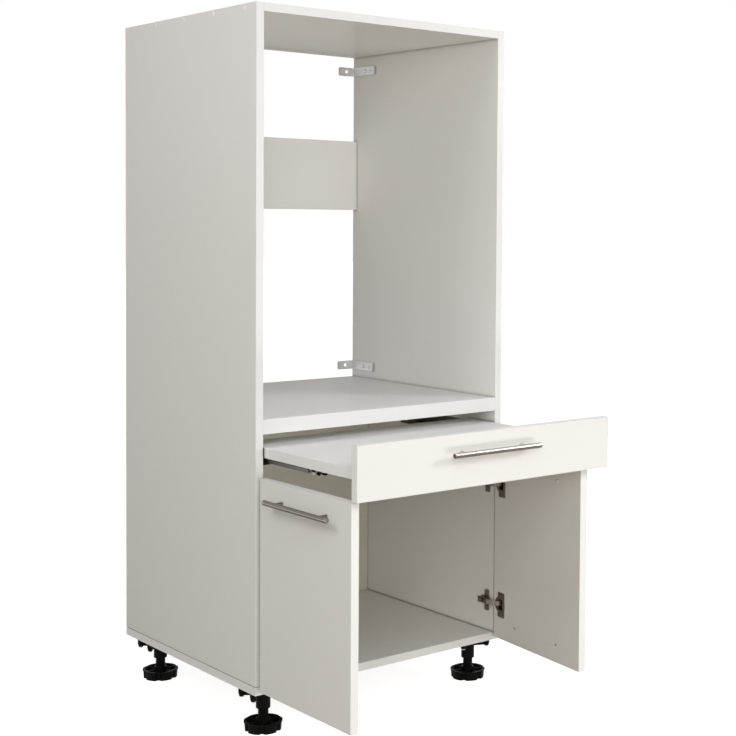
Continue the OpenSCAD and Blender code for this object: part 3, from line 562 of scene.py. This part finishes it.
track_x, track_t = 0.004, 0.0015
wall_flange_y, wall_flange_t, wall_flange_up = (-0.24, 0.004), 0.001, 0.0165
slide_drop, slide_setback = 0.0025, 0.01
rider_web, rider_t = 0.0027, 0.0012
for side, hand in (("left", 1), ("right", -1)):
    flip = Matrix.Scale(hand, 4, (1, 0, 0))
    low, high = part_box("runner_" + side)
    x0, x1 = sorted((low.x * hand, high.x * hand))
    channel = rolled([(x0, high.z), (x0, low.z), (x1, low.z), (x1, low.z + 0.7 * (high.z - low.z))],
                     0.002, low.y, high.y, 0.0015, ((x0 + x1) / 2, low.y, high.z + 0.01))
    join(channel, block((x0 + track_x, low.y, low.z + 0.0013), (x0 + track_x + track_t, high.y, high.z)))
    join(channel, block((x0, wall_flange_y[0], high.z - 0.002),
                        (x0 + wall_flange_t, wall_flange_y[1], high.z + wall_flange_up)))
    bmesh.ops.transform(channel, matrix=flip, verts=channel.verts)
    piece("runner_" + side + "_channel", channel, runner_steel, "carcass", "runner_" + side)
    low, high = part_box("slide_" + side)
    x0, x1 = sorted((low.x * hand, high.x * hand))
    section = rolled([(x0, high.z), (x0, low.z - slide_drop), (x1, low.z - slide_drop), (x1, high.z)],
                     0.0016, low.y + slide_setback, high.y, 0.0012,
                     ((x0 + x1) / 2, low.y, high.z + 0.01))
    bmesh.ops.transform(section, matrix=flip, verts=section.verts)
    piece("slide_" + side + "_section", section, runner_steel, "slide_member_" + side,
          "slide_" + side)
    low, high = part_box("rider_" + side)
    x0, x1 = sorted((low.x * hand, high.x * hand))
    rail = bmesh.new()
    for edge_x, inward in ((x0, 1), (x1, -1)):
        web_x = edge_x + inward * rider_web
        join(rail, rolled([(edge_x, high.z), (web_x, high.z), (web_x, low.z),
                           (web_x + inward * rider_t, low.z)],
                          0.0005, low.y, high.y, rider_t, (edge_x, low.y, low.z - 0.02)))
    join(rail, block((x0 + rider_web, low.y, high.z - rider_t), (x1 - rider_web, high.y, high.z)))
    bmesh.ops.transform(rail, matrix=flip, verts=rail.verts)
    piece("rider_" + side + "_rail", rail, runner_steel, "pull_out", "rider_" + side)

coat_node("runner_end_caps", black_plastic)
coat_node("rider_screws", zinc)

runner_face = 0.2825
runner_front, runner_run = -0.262, 0.298
low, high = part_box("runner_screws")
runner_screw_shape = bmesh.new()
for hand in (-1, 1):
    for part in (0.12, 0.55, 0.87):
        join(runner_screw_shape, drive_head(0.0035, 0.0012, 0.0019, 0.013),
             standing((hand * runner_face, runner_front + part * runner_run, (low.z + high.z) / 2),
                      (-hand, 0, 0)))
piece("runner_screw_set", runner_screw_shape, zinc, "carcass", "runner_screws")

# ---------------- pull-out
# A flat melamine board with banded edges, doweled and glued to its front. Two light
# clips with black levers lock the board onto the runners from below.

banded_board("pull_out_board", ["-x", "+x", "+y"], "pull_out")
banded_board("pull_out_front", ["-z", "+z", "-x", "+x"], "pull_out")

light_clip = finish("light_clip", (0.88, 0.88, 0.86), (0.84, 0.84, 0.82), (0.92, 0.92, 0.9), 0.32, 0.42,
                    700, 0.15, cloud_scale=60, radius=0.0004)
clip_low, clip_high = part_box("board_clips")
lever_low, lever_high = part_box("clip_levers")
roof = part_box("pull_out_board")[0].z
under_roof = roof - 0.0018
x0, x1 = clip_low.x + 0.0002, clip_low.x + 0.012
inner_x = x1 - 0.0016
y0, y1, z0 = clip_low.y, clip_high.y + 0.003, clip_low.z
pin_x, pin_y = x0 + 0.0062, y0 + 0.0062
lx, ly0, ly1, lz0, lz1 = lever_low.x, lever_low.y, lever_high.y, lever_low.z, lever_high.z
clip_shape, lever_shape = bmesh.new(), bmesh.new()
for hand in (1, -1):
    flip = Matrix.Scale(hand, 4, (1, 0, 0))
    for low, high in (((x0, y0, under_roof), (x1, y1, roof)),
                      ((x0, y1 - 0.0095, z0), (x0 + 0.0022, y1, under_roof)),
                      ((inner_x, y0, z0 + 0.002), (x1, y1, under_roof)),
                      ((x0, y1 - 0.0022, z0), (inner_x, y1, under_roof)),
                      ((x0 + 0.005, y0 + 0.002, z0 + 0.002), (inner_x, y1 - 0.0022, z0 + 0.0045))):
        join(clip_shape, block(low, high), flip)
    join(lever_shape, block((lx + 0.0005, ly0 + 0.011, lz0 + 0.0035), (lx + 0.0055, ly1, lz1 - 0.0005)),
         flip)
    join(lever_shape, block((lx, ly0 + 0.006, lz0 + 0.003), (lx + 0.007, ly0 + 0.0125, lz1)), flip)
    for turn in (1.4, 0.2):
        join(lever_shape, block((-0.0056, -0.0011, 0.001), (0.0056, 0.0011, 0.005)),
             flip @ Matrix.Translation((pin_x, pin_y, z0 + 0.0005)) @ Matrix.Rotation(turn, 4, "Z"))
    join(lever_shape, turned([(0, -0.0005), (0.0018, -0.0005), (0.0022, 0), (0.0022, 0.006), (0, 0.006)],
                             20), flip @ Matrix.Translation((pin_x, pin_y, z0)))
    for rib_y in (ly0 + 0.0072, ly0 + 0.0094):
        rib = block((lx + 0.001, rib_y, lz0 + 0.0025), (lx + 0.0062, rib_y + 0.001, lz0 + 0.0035))
        join(lever_shape, rib, flip)
piece("board_clip_pair", clip_shape, light_clip, "pull_out", "board_clips", ease=0.0003)
piece("clip_lever_pair", lever_shape, black_plastic, "pull_out", "clip_levers",
      ease=0.0003)

# ---------------- doors
# Two doors of the same board with bands all round. Each inner face is bored for two
# hinge cups and has a spare pair of handle holes. They turn in front of the sides.

door_low = Vector((-0.2985, -0.283, 0.094))
door_high = Vector((-0.0015, -0.267, 0.496))
door_middle = (door_low.x + door_high.x) / 2
swing_x, swing_y = -0.292, -0.2798
swing_at = Vector((swing_x, swing_y, 0))
hinge_levels = (0.167, 0.423)
handle_level, handle_pitch = 0.461, 0.144
cup_x, cup_bore_r, cup_bore_depth = -0.276, 0.0175, 0.0118
spare_level, spare_bore_r, spare_bore_depth = 0.129, 0.0025, 0.011
door_bands = {"-z": "lower", "+z": "upper", "-x": "hinge_edge", "+x": "free_edge"}


def swung(degrees):
    """How a closed left door moves to where it stands."""
    return (Matrix.Translation(swing_at) @ Matrix.Rotation(radians(-degrees), 4, "Z")
            @ Matrix.Translation(-swing_at))


door_places = {"left": swung(90), "right": Matrix.Scale(-1, 4, (1, 0, 0)) @ swung(84)}


def bored_panel(low, high, bores):
    """A board whose inner face, at the larger y, has blind bores of centre, radius and depth."""
    shape = punched([(low.x, high.y, low.z), (high.x, high.y, low.z), (high.x, high.y, high.z),
                     (low.x, high.y, high.z)], [bore[:2] for bore in bores], (0, 1, 0), 36)
    rims = [edge for edge in shape.edges if edge.is_boundary]
    outline = [edge for edge in rims if any(min(abs(vert.co.x - low.x), abs(vert.co.x - high.x)) < 1e-7
                                            for vert in edge.verts)]
    bmesh.ops.contextual_create(shape, geom=draw_out(shape, outline, (0, low.y - high.y, 0))[1])
    for centre, radius, depth in bores:
        rim = [edge for edge in rims
               if all(abs((vert.co - Vector(centre)).length - radius) < 1e-5 for vert in edge.verts)]
        bmesh.ops.contextual_create(shape, geom=draw_out(shape, rim, (0, -depth, 0))[1])
    return shape


for side, place in door_places.items():
    low, high = glue_bands(side + "_door", door_low, door_high, door_bands, "door_" + side, door_bands,
                           place)
    bores = [((cup_x, high.y, level), cup_bore_r, cup_bore_depth) for level in hinge_levels]
    bores += [((door_middle + way * handle_pitch / 2, high.y, spare_level), spare_bore_r,
               spare_bore_depth) for way in (-1, 1)]
    core = bmesh.new()
    join(core, bored_panel(low, high, bores), place)
    piece(side + "_door_board", core, melamine, "door_" + side, side + "_door",
          ease=board_ease)

# ---------------- bar handles
# Brushed stainless bars on two turned posts, held by screws from behind. The brushing
# runs along the bar, and each end is a pressed-in plug with a fine chamfer.


def painted_bar_shine_group():
    """Painted reflection round a polished bar, from its normal: a painted highlight streak at one height,
    painted shade below another.
    """
    group, given, made = effect_group(
        "painted_bar_shine",
        {"Color": (0.3, 0.3, 0.3, 1), "Bright": (0.8, 0.8, 0.8, 1), "Dark": (0.1, 0.1, 0.1, 1),
         "Bright Height": 0.5, "Bright Width": 0.3, "Dark Height": 0.1},
        {"Color": "Color"})
    upward = add(group, "SeparateXYZ", {0: add(group, "NewGeometry", {})["Normal"]})["Z"]
    far = reckon(group, "ABSOLUTE", reckon(group, "SUBTRACT", upward, given["Bright Height"]))
    streak = add(group, "MapRange", {"Value": far, "From Min": 0.0, "From Max": given["Bright Width"],
                                     "To Min": 1.0, "To Max": 0.0}, interpolation_type="SMOOTHSTEP")
    under = reckon(group, "SUBTRACT", given["Dark Height"], upward)
    shade = add(group, "MapRange", {"Value": under, "From Min": 0.0, "From Max": 0.18},
                interpolation_type="SMOOTHSTEP")
    lit = blended(group, streak["Result"], given["Color"], given["Bright"])
    feed(group, made, {"Color": blended(group, shade["Result"], lit, given["Dark"])})
    return group


painted_bar_shine = painted_bar_shine_group()
# The door bars' finish has a darker base colour than the pull-out's, for how each bar is lit: painted shade.
nickel_along_x = finish("brushed_nickel_x", (0.3, 0.27, 0.24), (0.25, 0.225, 0.2), (0.62, 0.6, 0.57),
                        0.2, 0.3, 500, 0.1, metal=1.0, stretch=(0.02, 1, 1), cloud_scale=18, wear=0.6,
                        radius=0.0006)
nickel_along_y = finish("brushed_nickel_y", (0.2, 0.172, 0.143), (0.165, 0.14, 0.115),
                        (0.62, 0.6, 0.57), 0.2, 0.3, 500, 0.1, metal=1.0, stretch=(1, 0.02, 1),
                        cloud_scale=18, wear=0.6, radius=0.0006)
# Painted highlight and painted shade laid over each bar finish's base colour.
for coat, bright, painted_highlight_z, width, painted_shade_z, painted_shade_colour in (
        (nickel_along_x, (0.78, 0.74, 0.69), 0.6, 0.42, 0.2, (0.13, 0.106, 0.09)),
        (nickel_along_y, (0.46, 0.41, 0.36), 0.08, 0.16, -0.08, (0.012, 0.01, 0.009))):
    tree = coat.node_tree
    shader = tree.nodes["Principled BSDF"]
    painted_shine = add(tree, "Group", {
        "Color": shader.inputs["Base Color"].links[0].from_socket, "Bright": (*bright, 1),
        "Dark": (*painted_shade_colour, 1), "Bright Height": painted_highlight_z, "Bright Width": width, "Dark Height": painted_shade_z},
        node_tree=painted_bar_shine)
    feed(tree, shader, {"Base Color": painted_shine["Color"]})

bar_half, bar_r, bar_cut, plug = 0.103, 0.005, 0.0007, 0.0035
post_r, stand_off = 0.0035, 0.02
bar_end = [(0, bar_half), (bar_r - bar_cut, bar_half), (bar_r, bar_half - bar_cut), (bar_r, bar_half - plug),
           (bar_r - 0.0003, bar_half - plug - 0.0002), (bar_r, bar_half - plug - 0.0004)]
bar_outline = [(radius, -along) for radius, along in bar_end] + bar_end[::-1]
post_outline = [(0, 0), (post_r + 0.0005, 0), (post_r + 0.0005, 0.0012), (post_r, 0.0018),
                (post_r, 0.0145), (post_r + 0.0006, 0.0165), (post_r + 0.0008, stand_off - 0.0005),
                (0, stand_off - 0.0005)]


def bar_handle(middle, face, level):
    """A bar on two posts in front of a face that looks towards the front."""
    shape = bmesh.new()
    join(shape, turned(bar_outline, 40), standing((middle, face - stand_off, level), (1, 0, 0)))
    for way in (-1, 1):
        join(shape, turned(post_outline),
             standing((middle + way * handle_pitch / 2, face, level), (0, -1, 0)))
    return shape


def handle_screws(middle, face, level):
    """Two pan head screws behind a handle, their heads on the inner face."""
    shape = bmesh.new()
    for way in (-1, 1):
        join(shape, drive_head(0.004, 0.002, 0.0019, 0.022),
             standing((middle + way * handle_pitch / 2, face, level), (0, 1, 0)))
    return shape


front_low, front_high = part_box("pull_out_front")
handle_low, handle_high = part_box("pull_out_handle")
pull_level = (handle_low.z + handle_high.z) / 2
piece("pull_out_bar_handle", bar_handle(0, front_low.y, pull_level), nickel_along_x, "pull_out",
      "pull_out_handle")
piece("pull_out_handle_screw_pair", handle_screws(0, front_high.y, pull_level), zinc, "pull_out",
      "pull_out_handle_screws")
for side, place in door_places.items():
    bar, pair = bmesh.new(), bmesh.new()
    join(bar, bar_handle(door_middle, door_low.y, handle_level), place)
    piece(side + "_bar_handle", bar, nickel_along_y, "door_" + side, side + "_handle")
    join(pair, handle_screws(door_middle, door_high.y, handle_level), place)
    piece(side + "_handle_screw_pair", pair, zinc, "door_" + side, side + "_handle_screws")

# ---------------- cup hinges
# Nickel-plated clip hinges. A pressed cup with two ears sits in the door, a folded arm
# clips over a cross-shaped plate on the side panel, and a bright link joins the two.

hinge_nickel = finish("hinge_nickel", (0.27, 0.235, 0.2), (0.15, 0.127, 0.105), (0.6, 0.55, 0.49), 0.2,
                      0.36, 500, 0.2, metal=1.0, cloud_scale=90, wear=0.8, radius=0.0006)
bright_link = finish("bright_link", (0.56, 0.49, 0.43), (0.42, 0.36, 0.31), (0.8, 0.76, 0.7), 0.2, 0.32,
                     500, 0.15, metal=0.5, cloud_scale=60, radius=0.0005)
# A near-black sheet lines each cup's well and each arm's slot as painted shade; the metal there is nickel in
# shadow.
painted_shade_steel = finish("cup_well_painted_shade", (0.05, 0.042, 0.035), (0.025, 0.021, 0.018), (0.1, 0.09, 0.08), 0.4, 0.55,
                  500, 0.2, metal=0.6, cloud_scale=90, wear=0.4, radius=0.0005)


def raised(shape, faces, up):
    """Draws faces upwards, and gives back their new corners and the new faces."""
    drawn = bmesh.ops.extrude_face_region(shape, geom=faces)["geom"]
    verts = [item for item in drawn if isinstance(item, bmesh.types.BMVert)]
    bmesh.ops.translate(shape, vec=(0, 0, up), verts=verts)
    return verts, [item for item in drawn if isinstance(item, bmesh.types.BMFace)]


def extruded(outline, thickness, rounding=0.0):
    """A plate in x and y with rounded corners, drawn up to its thickness."""
    shape = bmesh.new()
    points = [shape.verts.new((x, y, 0)) for x, y in outline]
    shape.faces.new(points)
    if rounding:
        bmesh.ops.bevel(shape, geom=points, offset=rounding, segments=4, profile=0.5,
                        affect="VERTICES", material=-1)
    bmesh.ops.triangulate(shape, faces=shape.faces[:])
    raised(shape, shape.faces[:], thickness)
    return shape


def both_sides(half):
    """An outline from its half at the lower y."""
    return half + [(x, -y) for x, y in reversed(half)]


def oblong(x0, x1, y0, y1):
    """The four corners of a plate."""
    return [(x0, y0), (x1, y0), (x1, y1), (x0, y1)]


def laid(ways, origin=(0, 0, 0)):
    """The place of a plate: the axes along which its x, its y and its thickness lie."""
    axes = {"x": (1, 0, 0), "y": (0, 1, 0), "z": (0, 0, 1), "-x": (-1, 0, 0)}
    turn = Matrix([axes[way] for way in ways]).transposed().to_4x4()
    return Matrix.Translation(origin) @ turn


knuckle_r = 0.0139
shell = [(0, -0.0115), (0.0168, -0.0115), (0.0174, -0.0109), (0.0174, 0), (0.0178, 0),
         (0.0178, 0.0004), (0.0176, 0.0007), (0.0166, 0.0007), (0.0162, 0.0003), (0.0162, -0.0102),
         (0, -0.0102)]
well = [(0, -0.0101), (0.0151, -0.0101), (0.0159, -0.0094), (0.0159, -0.0006)]
flange = [(-0.0075, 0.0112), (-0.0075, 0.0265), (0.0162, 0.0265), (0.0162, -0.0265),
          (-0.0075, -0.0265), (-0.0075, -0.0112), (0.0095, -0.0112), (0.0095, 0.0112)]
cheek = [(-0.007, 0.0055), (-0.007, 0.0145), (-0.0115, 0.012), (-0.016, 0.0055)]
knuckle = [(swing_x + knuckle_r * sin(turn), swing_y + knuckle_r * cos(turn))
           for turn in (-0.22, 0, 0.2, 0.4, 0.6)]
knuckle += [(-0.2855, -0.2755), (-0.293, -0.2755)]
for side, place in door_places.items():
    cups, shade_linings, screws, knuckles = bmesh.new(), bmesh.new(), bmesh.new(), bmesh.new()
    for level in hinge_levels:
        seat = place @ Matrix.Translation((cup_x, door_high.y, level)) @ laid("xzy")
        join(cups, turned(shell, 48), seat)
        join(cups, extruded(flange, 0.0009, 0.0022), seat)
        for way in (1, -1):
            join(cups, extruded([(x, way * z) for x, z in cheek], 0.0006), seat)
            join(screws, drive_head(0.0031, 0.0009, 0.0017, 0.0095),
                 place @ standing((cup_x + 0.0095, door_high.y + 0.0008, level + way * 0.0225),
                                  (0, 1, 0)))
        # The well's dark lining is painted shade.
        shade_lining = turned(well, 48)
        bmesh.ops.solidify(shade_lining, geom=shade_lining.faces[:], thickness=-0.0004)
        join(shade_linings, shade_lining, seat)
        join(knuckles, extruded(knuckle, 0.0096), place @ Matrix.Translation((0, 0, level - 0.0048)))
    body = "door_" + side
    piece(side + "_hinge_cup_pair", cups, hinge_nickel, body, side + "_hinge_cups",
          ease=0.0002)
    piece(side + "_hinge_cup_painted_shade", shade_linings, painted_shade_steel, body)
    piece(side + "_hinge_knuckles", knuckles, bright_link, body, ease=0.0002)
    piece(side + "_cup_screw_set", screws, hinge_nickel, body, side + "_cup_screws")

plate_y = -0.245
plate_t = 0.0028
screw_up = 0.016
side_face = -0.284
web_x = side_face + 0.0084
cross = both_sides([(-0.007, -0.007), (-0.006, -0.0085), (-0.006, -0.022), (0.006, -0.022),
                    (0.006, -0.0085), (0.009, -0.007), (0.0185, -0.007)])
boss = [(0.0042, 0), (0.0052, 0), (0.0052, 0.0034), (0.0042, 0.0034), (0.0042, 0)]
arm_path = [(-0.0065, -0.0035), (-0.0065, -0.0095), (0.0065, -0.0095), (0.0065, -0.0035)]
fork = both_sides([(-0.2325, -0.0064), (-0.2242, -0.0064), (-0.2242, -0.003), (-0.2275, -0.0022)])
nose = both_sides([(-0.0105, -0.0058), (-0.0045, -0.0064), (0.001, -0.0064)])
link_pin = [(0, -0.0056), (0.0013, -0.0056), (0.0015, -0.0053), (0.0015, 0.0053), (0.0013, 0.0056),
            (0, 0.0056)]
plate_screw_shape, arm_screw_shape = bmesh.new(), bmesh.new()
for side, hand in (("left", 1), ("right", -1)):
    plates, arms, links, slot_shades = bmesh.new(), bmesh.new(), bmesh.new(), bmesh.new()
    for level in hinge_levels:
        seat = Matrix.Scale(hand, 4, (1, 0, 0)) @ Matrix.Translation((0, 0, level))
        on_side = seat @ laid("yzx", (side_face, plate_y, 0))
        on_web = seat @ laid("yzx", (web_x, 0, 0))
        join(plates, extruded(cross, plate_t, 0.0011), on_side)
        join(plates, extruded(oblong(-0.006, 0.02, -0.0047, 0.0047), 0.0077, 0.0015), on_side)
        for way in (1, -1):
            join(plates, turned(boss, 24),
                 seat @ standing((side_face, plate_y, way * screw_up), (1, 0, 0)))
            join(plate_screw_shape, drive_head(0.0036, 0.0014, 0.0019, 0.013),
                 seat @ standing((side_face + plate_t, plate_y, way * screw_up), (1, 0, 0)))
        join(arms, rolled(arm_path, 0.0018, -0.258, -0.232, 0.0013, (0, -0.258, -0.004)),
             seat @ laid(("z", "y", "-x"), (side_face, 0, 0)))
        join(arms, extruded(fork, 0.0011), on_web)
        # A dark plate in the arm's slot: painted shade.
        join(slot_shades, extruded(oblong(-0.2462, -0.2378, -0.004, 0.004), 0.0012, 0.0018), on_web)
        join(arms, extruded(nose, 0.0012), seat @ laid("yzx", (web_x, -0.2575, 0)))
        for way in (1, -1):
            join(links, extruded(oblong(-0.2764, -0.2525, 0.0063, 0.0108), 0.0012, 0.0018),
                 seat @ laid("yxz", (side_face, 0, way * 0.0044 - 0.0006)))
        for x0, x1, y1, half in ((0.0086, 0.0106, -0.2535, 0.0038), (0.0066, 0.009, -0.2725, 0.0037)):
            join(links, block((side_face + x0, -0.2762, -half), (side_face + x1, y1, half)), seat)
        for pin_y in (-0.2738, -0.2555):
            join(links, turned(link_pin, 20), seat @ standing((web_x, pin_y, 0), (0, 0, 1)))
        for along, head in ((0.016, (0.0038, 0.0015, 0.0024, 0.0055)),
                            (-0.001, (0.0022, 0.0008, 0.0016, 0.002))):
            join(arm_screw_shape, drive_head(*head),
                 seat @ standing((side_face + 0.0095, plate_y + along, 0), (1, 0, 0)))
    piece(side + "_hinge_plate_pair", plates, hinge_nickel, "carcass",
          side + "_hinge_plates", ease=0.0002)
    piece(side + "_hinge_arm_pair", arms, hinge_nickel, "carcass", side + "_hinge_arms",
          ease=0.0002)
    piece(side + "_hinge_link_pair", links, bright_link, "carcass", ease=0.0002)
    piece(side + "_hinge_arm_slot_painted_shade", slot_shades, painted_shade_steel, "carcass")
piece("plate_screw_set", plate_screw_shape, hinge_nickel, "carcass", "plate_screws")
piece("arm_screw_set", arm_screw_shape, hinge_nickel, "carcass", "arm_screws")

# ---------------- feet
# Injection-moulded black feet. A socket with four screw lugs is fixed under the bottom
# panel, a threaded stem screws up into its sleeve, and a lobed pad clips onto the stem.

base_z = 0.085
foot_spots = {"front_left": (-0.2535, -0.217), "front_right": (0.2535, -0.217),
              "rear_left": (-0.2535, 0.2), "rear_right": (0.2535, 0.2)}
lug_places = ((-0.0345, -0.0215), (-0.0345, 0.0215), (0.022, -0.012), (0.022, 0.012))
lug_down = 0.019
collar = [(0.0106, -0.004), (0.0195, -0.004), (0.02, -0.0035), (0.02, 0), (0.0106, 0), (0.0106, -0.004)]
sleeve = [(0.0106, -0.0035), (0.0106, -0.0423), (0.011, -0.0428), (0.0133, -0.0428), (0.014, -0.042),
          (0.014, -0.0035), (0.0106, -0.0035)]
plate = both_sides([(-0.0405, -0.0215), (-0.0345, -0.0275), (-0.012, -0.0235), (0.002, -0.019)])
lug = [(0.0024, -lug_down), (0.0044, -lug_down), (0.0052, -0.0172), (0.0064, -0.012),
       (0.0068, -0.001), (0.0024, -0.001), (0.0024, -lug_down)]
spigot = [(0, 0.0125), (0.0055, 0.0125), (0.0059, 0.0133), (0.0059, 0.023), (0.0098, 0.0232),
          (0.0098, 0.0258), (0, 0.0258)]
pad_lip = [(0.0316, 0.0158), (0.0351, 0.0158), (0.0359, 0.0166), (0.0359, 0.0176), (0.0355, 0.0182),
           (0.0316, 0.0182), (0.0316, 0.0158)]
hub = [(0.0064, 0.0052), (0.0145, 0.0052), (0.0136, 0.0075), (0.0133, 0.0222), (0.0126, 0.0229),
       (0.0064, 0.0229), (0.0064, 0.0052)]


def foot_socket():
    """Plate, lugs, webs and sleeve about the stem's axis, the outer lugs on the left."""
    shape = bmesh.new()
    top = Matrix.Translation((0, 0, base_z))
    join(shape, turned(collar, 48), top)
    join(shape, turned(sleeve, 40), top)
    join(shape, extruded(plate, 0.0045, 0.0015), top @ Matrix.Translation((0, 0, -0.0045)))
    for x, y in lug_places:
        join(shape, turned(lug, 28), top @ Matrix.Translation((x, y, 0)))
        reach, deep = (0.0375, 0.0175) if x < 0 else (0.0215, 0.011)
        web = extruded([(0.0136, -0.0035), (reach, -0.0035), (reach, -deep), (0.0136, -0.0185)], 0.003)
        join(shape, web, Matrix.Rotation(atan2(y, x), 4, "Z") @ laid("xzy", (0, -0.0015, base_z)))
    return shape


def foot_stem():
    """A coarse thread: one turn's outline swept round and up, over a plain core and spigot."""
    pitch, turns, steps_a_turn, core, crest, foot = 0.004, 11.75, 32, 0.0092, 0.0103, 0.0245
    thread = bmesh.new()
    points = [thread.verts.new((radius, 0, foot + height)) for radius, height in (
        (core, 0), (core, 0.0009), (crest, 0.0016), (crest, 0.0027), (core, 0.0034), (core, pitch))]
    edges = [thread.edges.new(pair) for pair in zip(points, points[1:])]
    bmesh.ops.spin(thread, geom=points + edges, axis=(0, 0, 1), cent=(0, 0, 0), angle=2 * pi * turns,
                   steps=round(steps_a_turn * turns), dvec=(0, 0, pitch / steps_a_turn))
    bmesh.ops.remove_doubles(thread, verts=thread.verts, dist=2e-6)
    bmesh.ops.holes_fill(thread, edges=[edge for edge in thread.edges if edge.is_boundary], sides=0)
    bmesh.ops.triangulate(thread, faces=[face for face in thread.faces if len(face.verts) > 4])
    join(thread, turned(spigot))
    return thread


def foot_pad():
    """A cupped pad: lobed wall with a lipped rim, a floor, six ribs and a bored hub."""
    lobes, wall_r, notch_at, notch_r, notch_depth = 6, 0.0347, 0.0356, 0.006, 0.0045
    wall = bmesh.new()
    ring = bmesh.ops.create_circle(wall, segments=144, radius=wall_r, cap_ends=True)["verts"]
    for notch in range(lobes):
        spot = Matrix.Rotation(radians(30 + 60 * notch), 4, "Z") @ Vector((notch_at, 0, 0))
        for vert in ring:
            near = (vert.co - spot).length
            if near < notch_r:
                vert.co -= spot.normalized() * notch_depth * min(1, (notch_r - near) / 0.003)
    upper_face = wall.faces[:]
    for widen, up, inner in ((1.03, 0.0152, False), (1.035, 0.0004, True), (1.0, 0.0024, True)):
        verts, above = raised(wall, upper_face, up)
        bmesh.ops.scale(wall, vec=(widen, widen, 1), verts=verts)
        if inner:
            bmesh.ops.delete(wall, geom=upper_face, context="FACES_ONLY")
        upper_face = above
    bmesh.ops.recalc_face_normals(wall, faces=wall.faces)
    bmesh.ops.inset_region(wall, faces=upper_face, thickness=0.0026, depth=0, use_even_offset=True)
    raised(wall, upper_face, -0.013)
    bmesh.ops.delete(wall, geom=upper_face, context="FACES_ONLY")
    join(wall, turned(pad_lip, 72))
    for rib in range(lobes):
        about = Matrix.Rotation(radians(30 + 60 * rib), 4, "Z")
        join(wall, block((0.012, -0.0012, 0.0045), (0.0312, 0.0012, 0.0165)), about)
        join(wall, block((0.012, -0.0006, 0.0045), (0.0335, 0.0006, 0.009)),
             about @ Matrix.Rotation(pi / 6, 4, "Z"))
    join(wall, turned(hub, 40))
    return wall


sockets, lug_screws = bmesh.new(), bmesh.new()
for corner, (x, y) in foot_spots.items():
    spot = Matrix.Translation((x, y, 0))
    outward = spot @ Matrix.Scale(-1 if x > 0 else 1, 4, (1, 0, 0))
    join(sockets, foot_socket(), outward)
    for lug_x, lug_y in lug_places:
        join(lug_screws, drive_head(0.004, 0.002, 0.0019, 0.02),
             outward @ standing((lug_x, lug_y, base_z - lug_down), (0, 0, -1)))
    stem, pad = bmesh.new(), bmesh.new()
    join(stem, foot_stem(), spot)
    join(pad, foot_pad(), spot @ Matrix.Rotation(radians(25 if x < 0 else 7), 4, "Z"))
    piece("stem_" + corner + "_thread", stem, black_plastic, "leg_" + corner,
          "stem_" + corner)
    piece("foot_" + corner + "_pad", pad, black_plastic, "leg_" + corner, "foot_" + corner,
          ease=0.0004)
piece("foot_socket_set", sockets, black_plastic, "carcass", "foot_sockets", ease=0.0003)
piece("socket_screw_set", lug_screws, zinc, "carcass", "socket_screws")
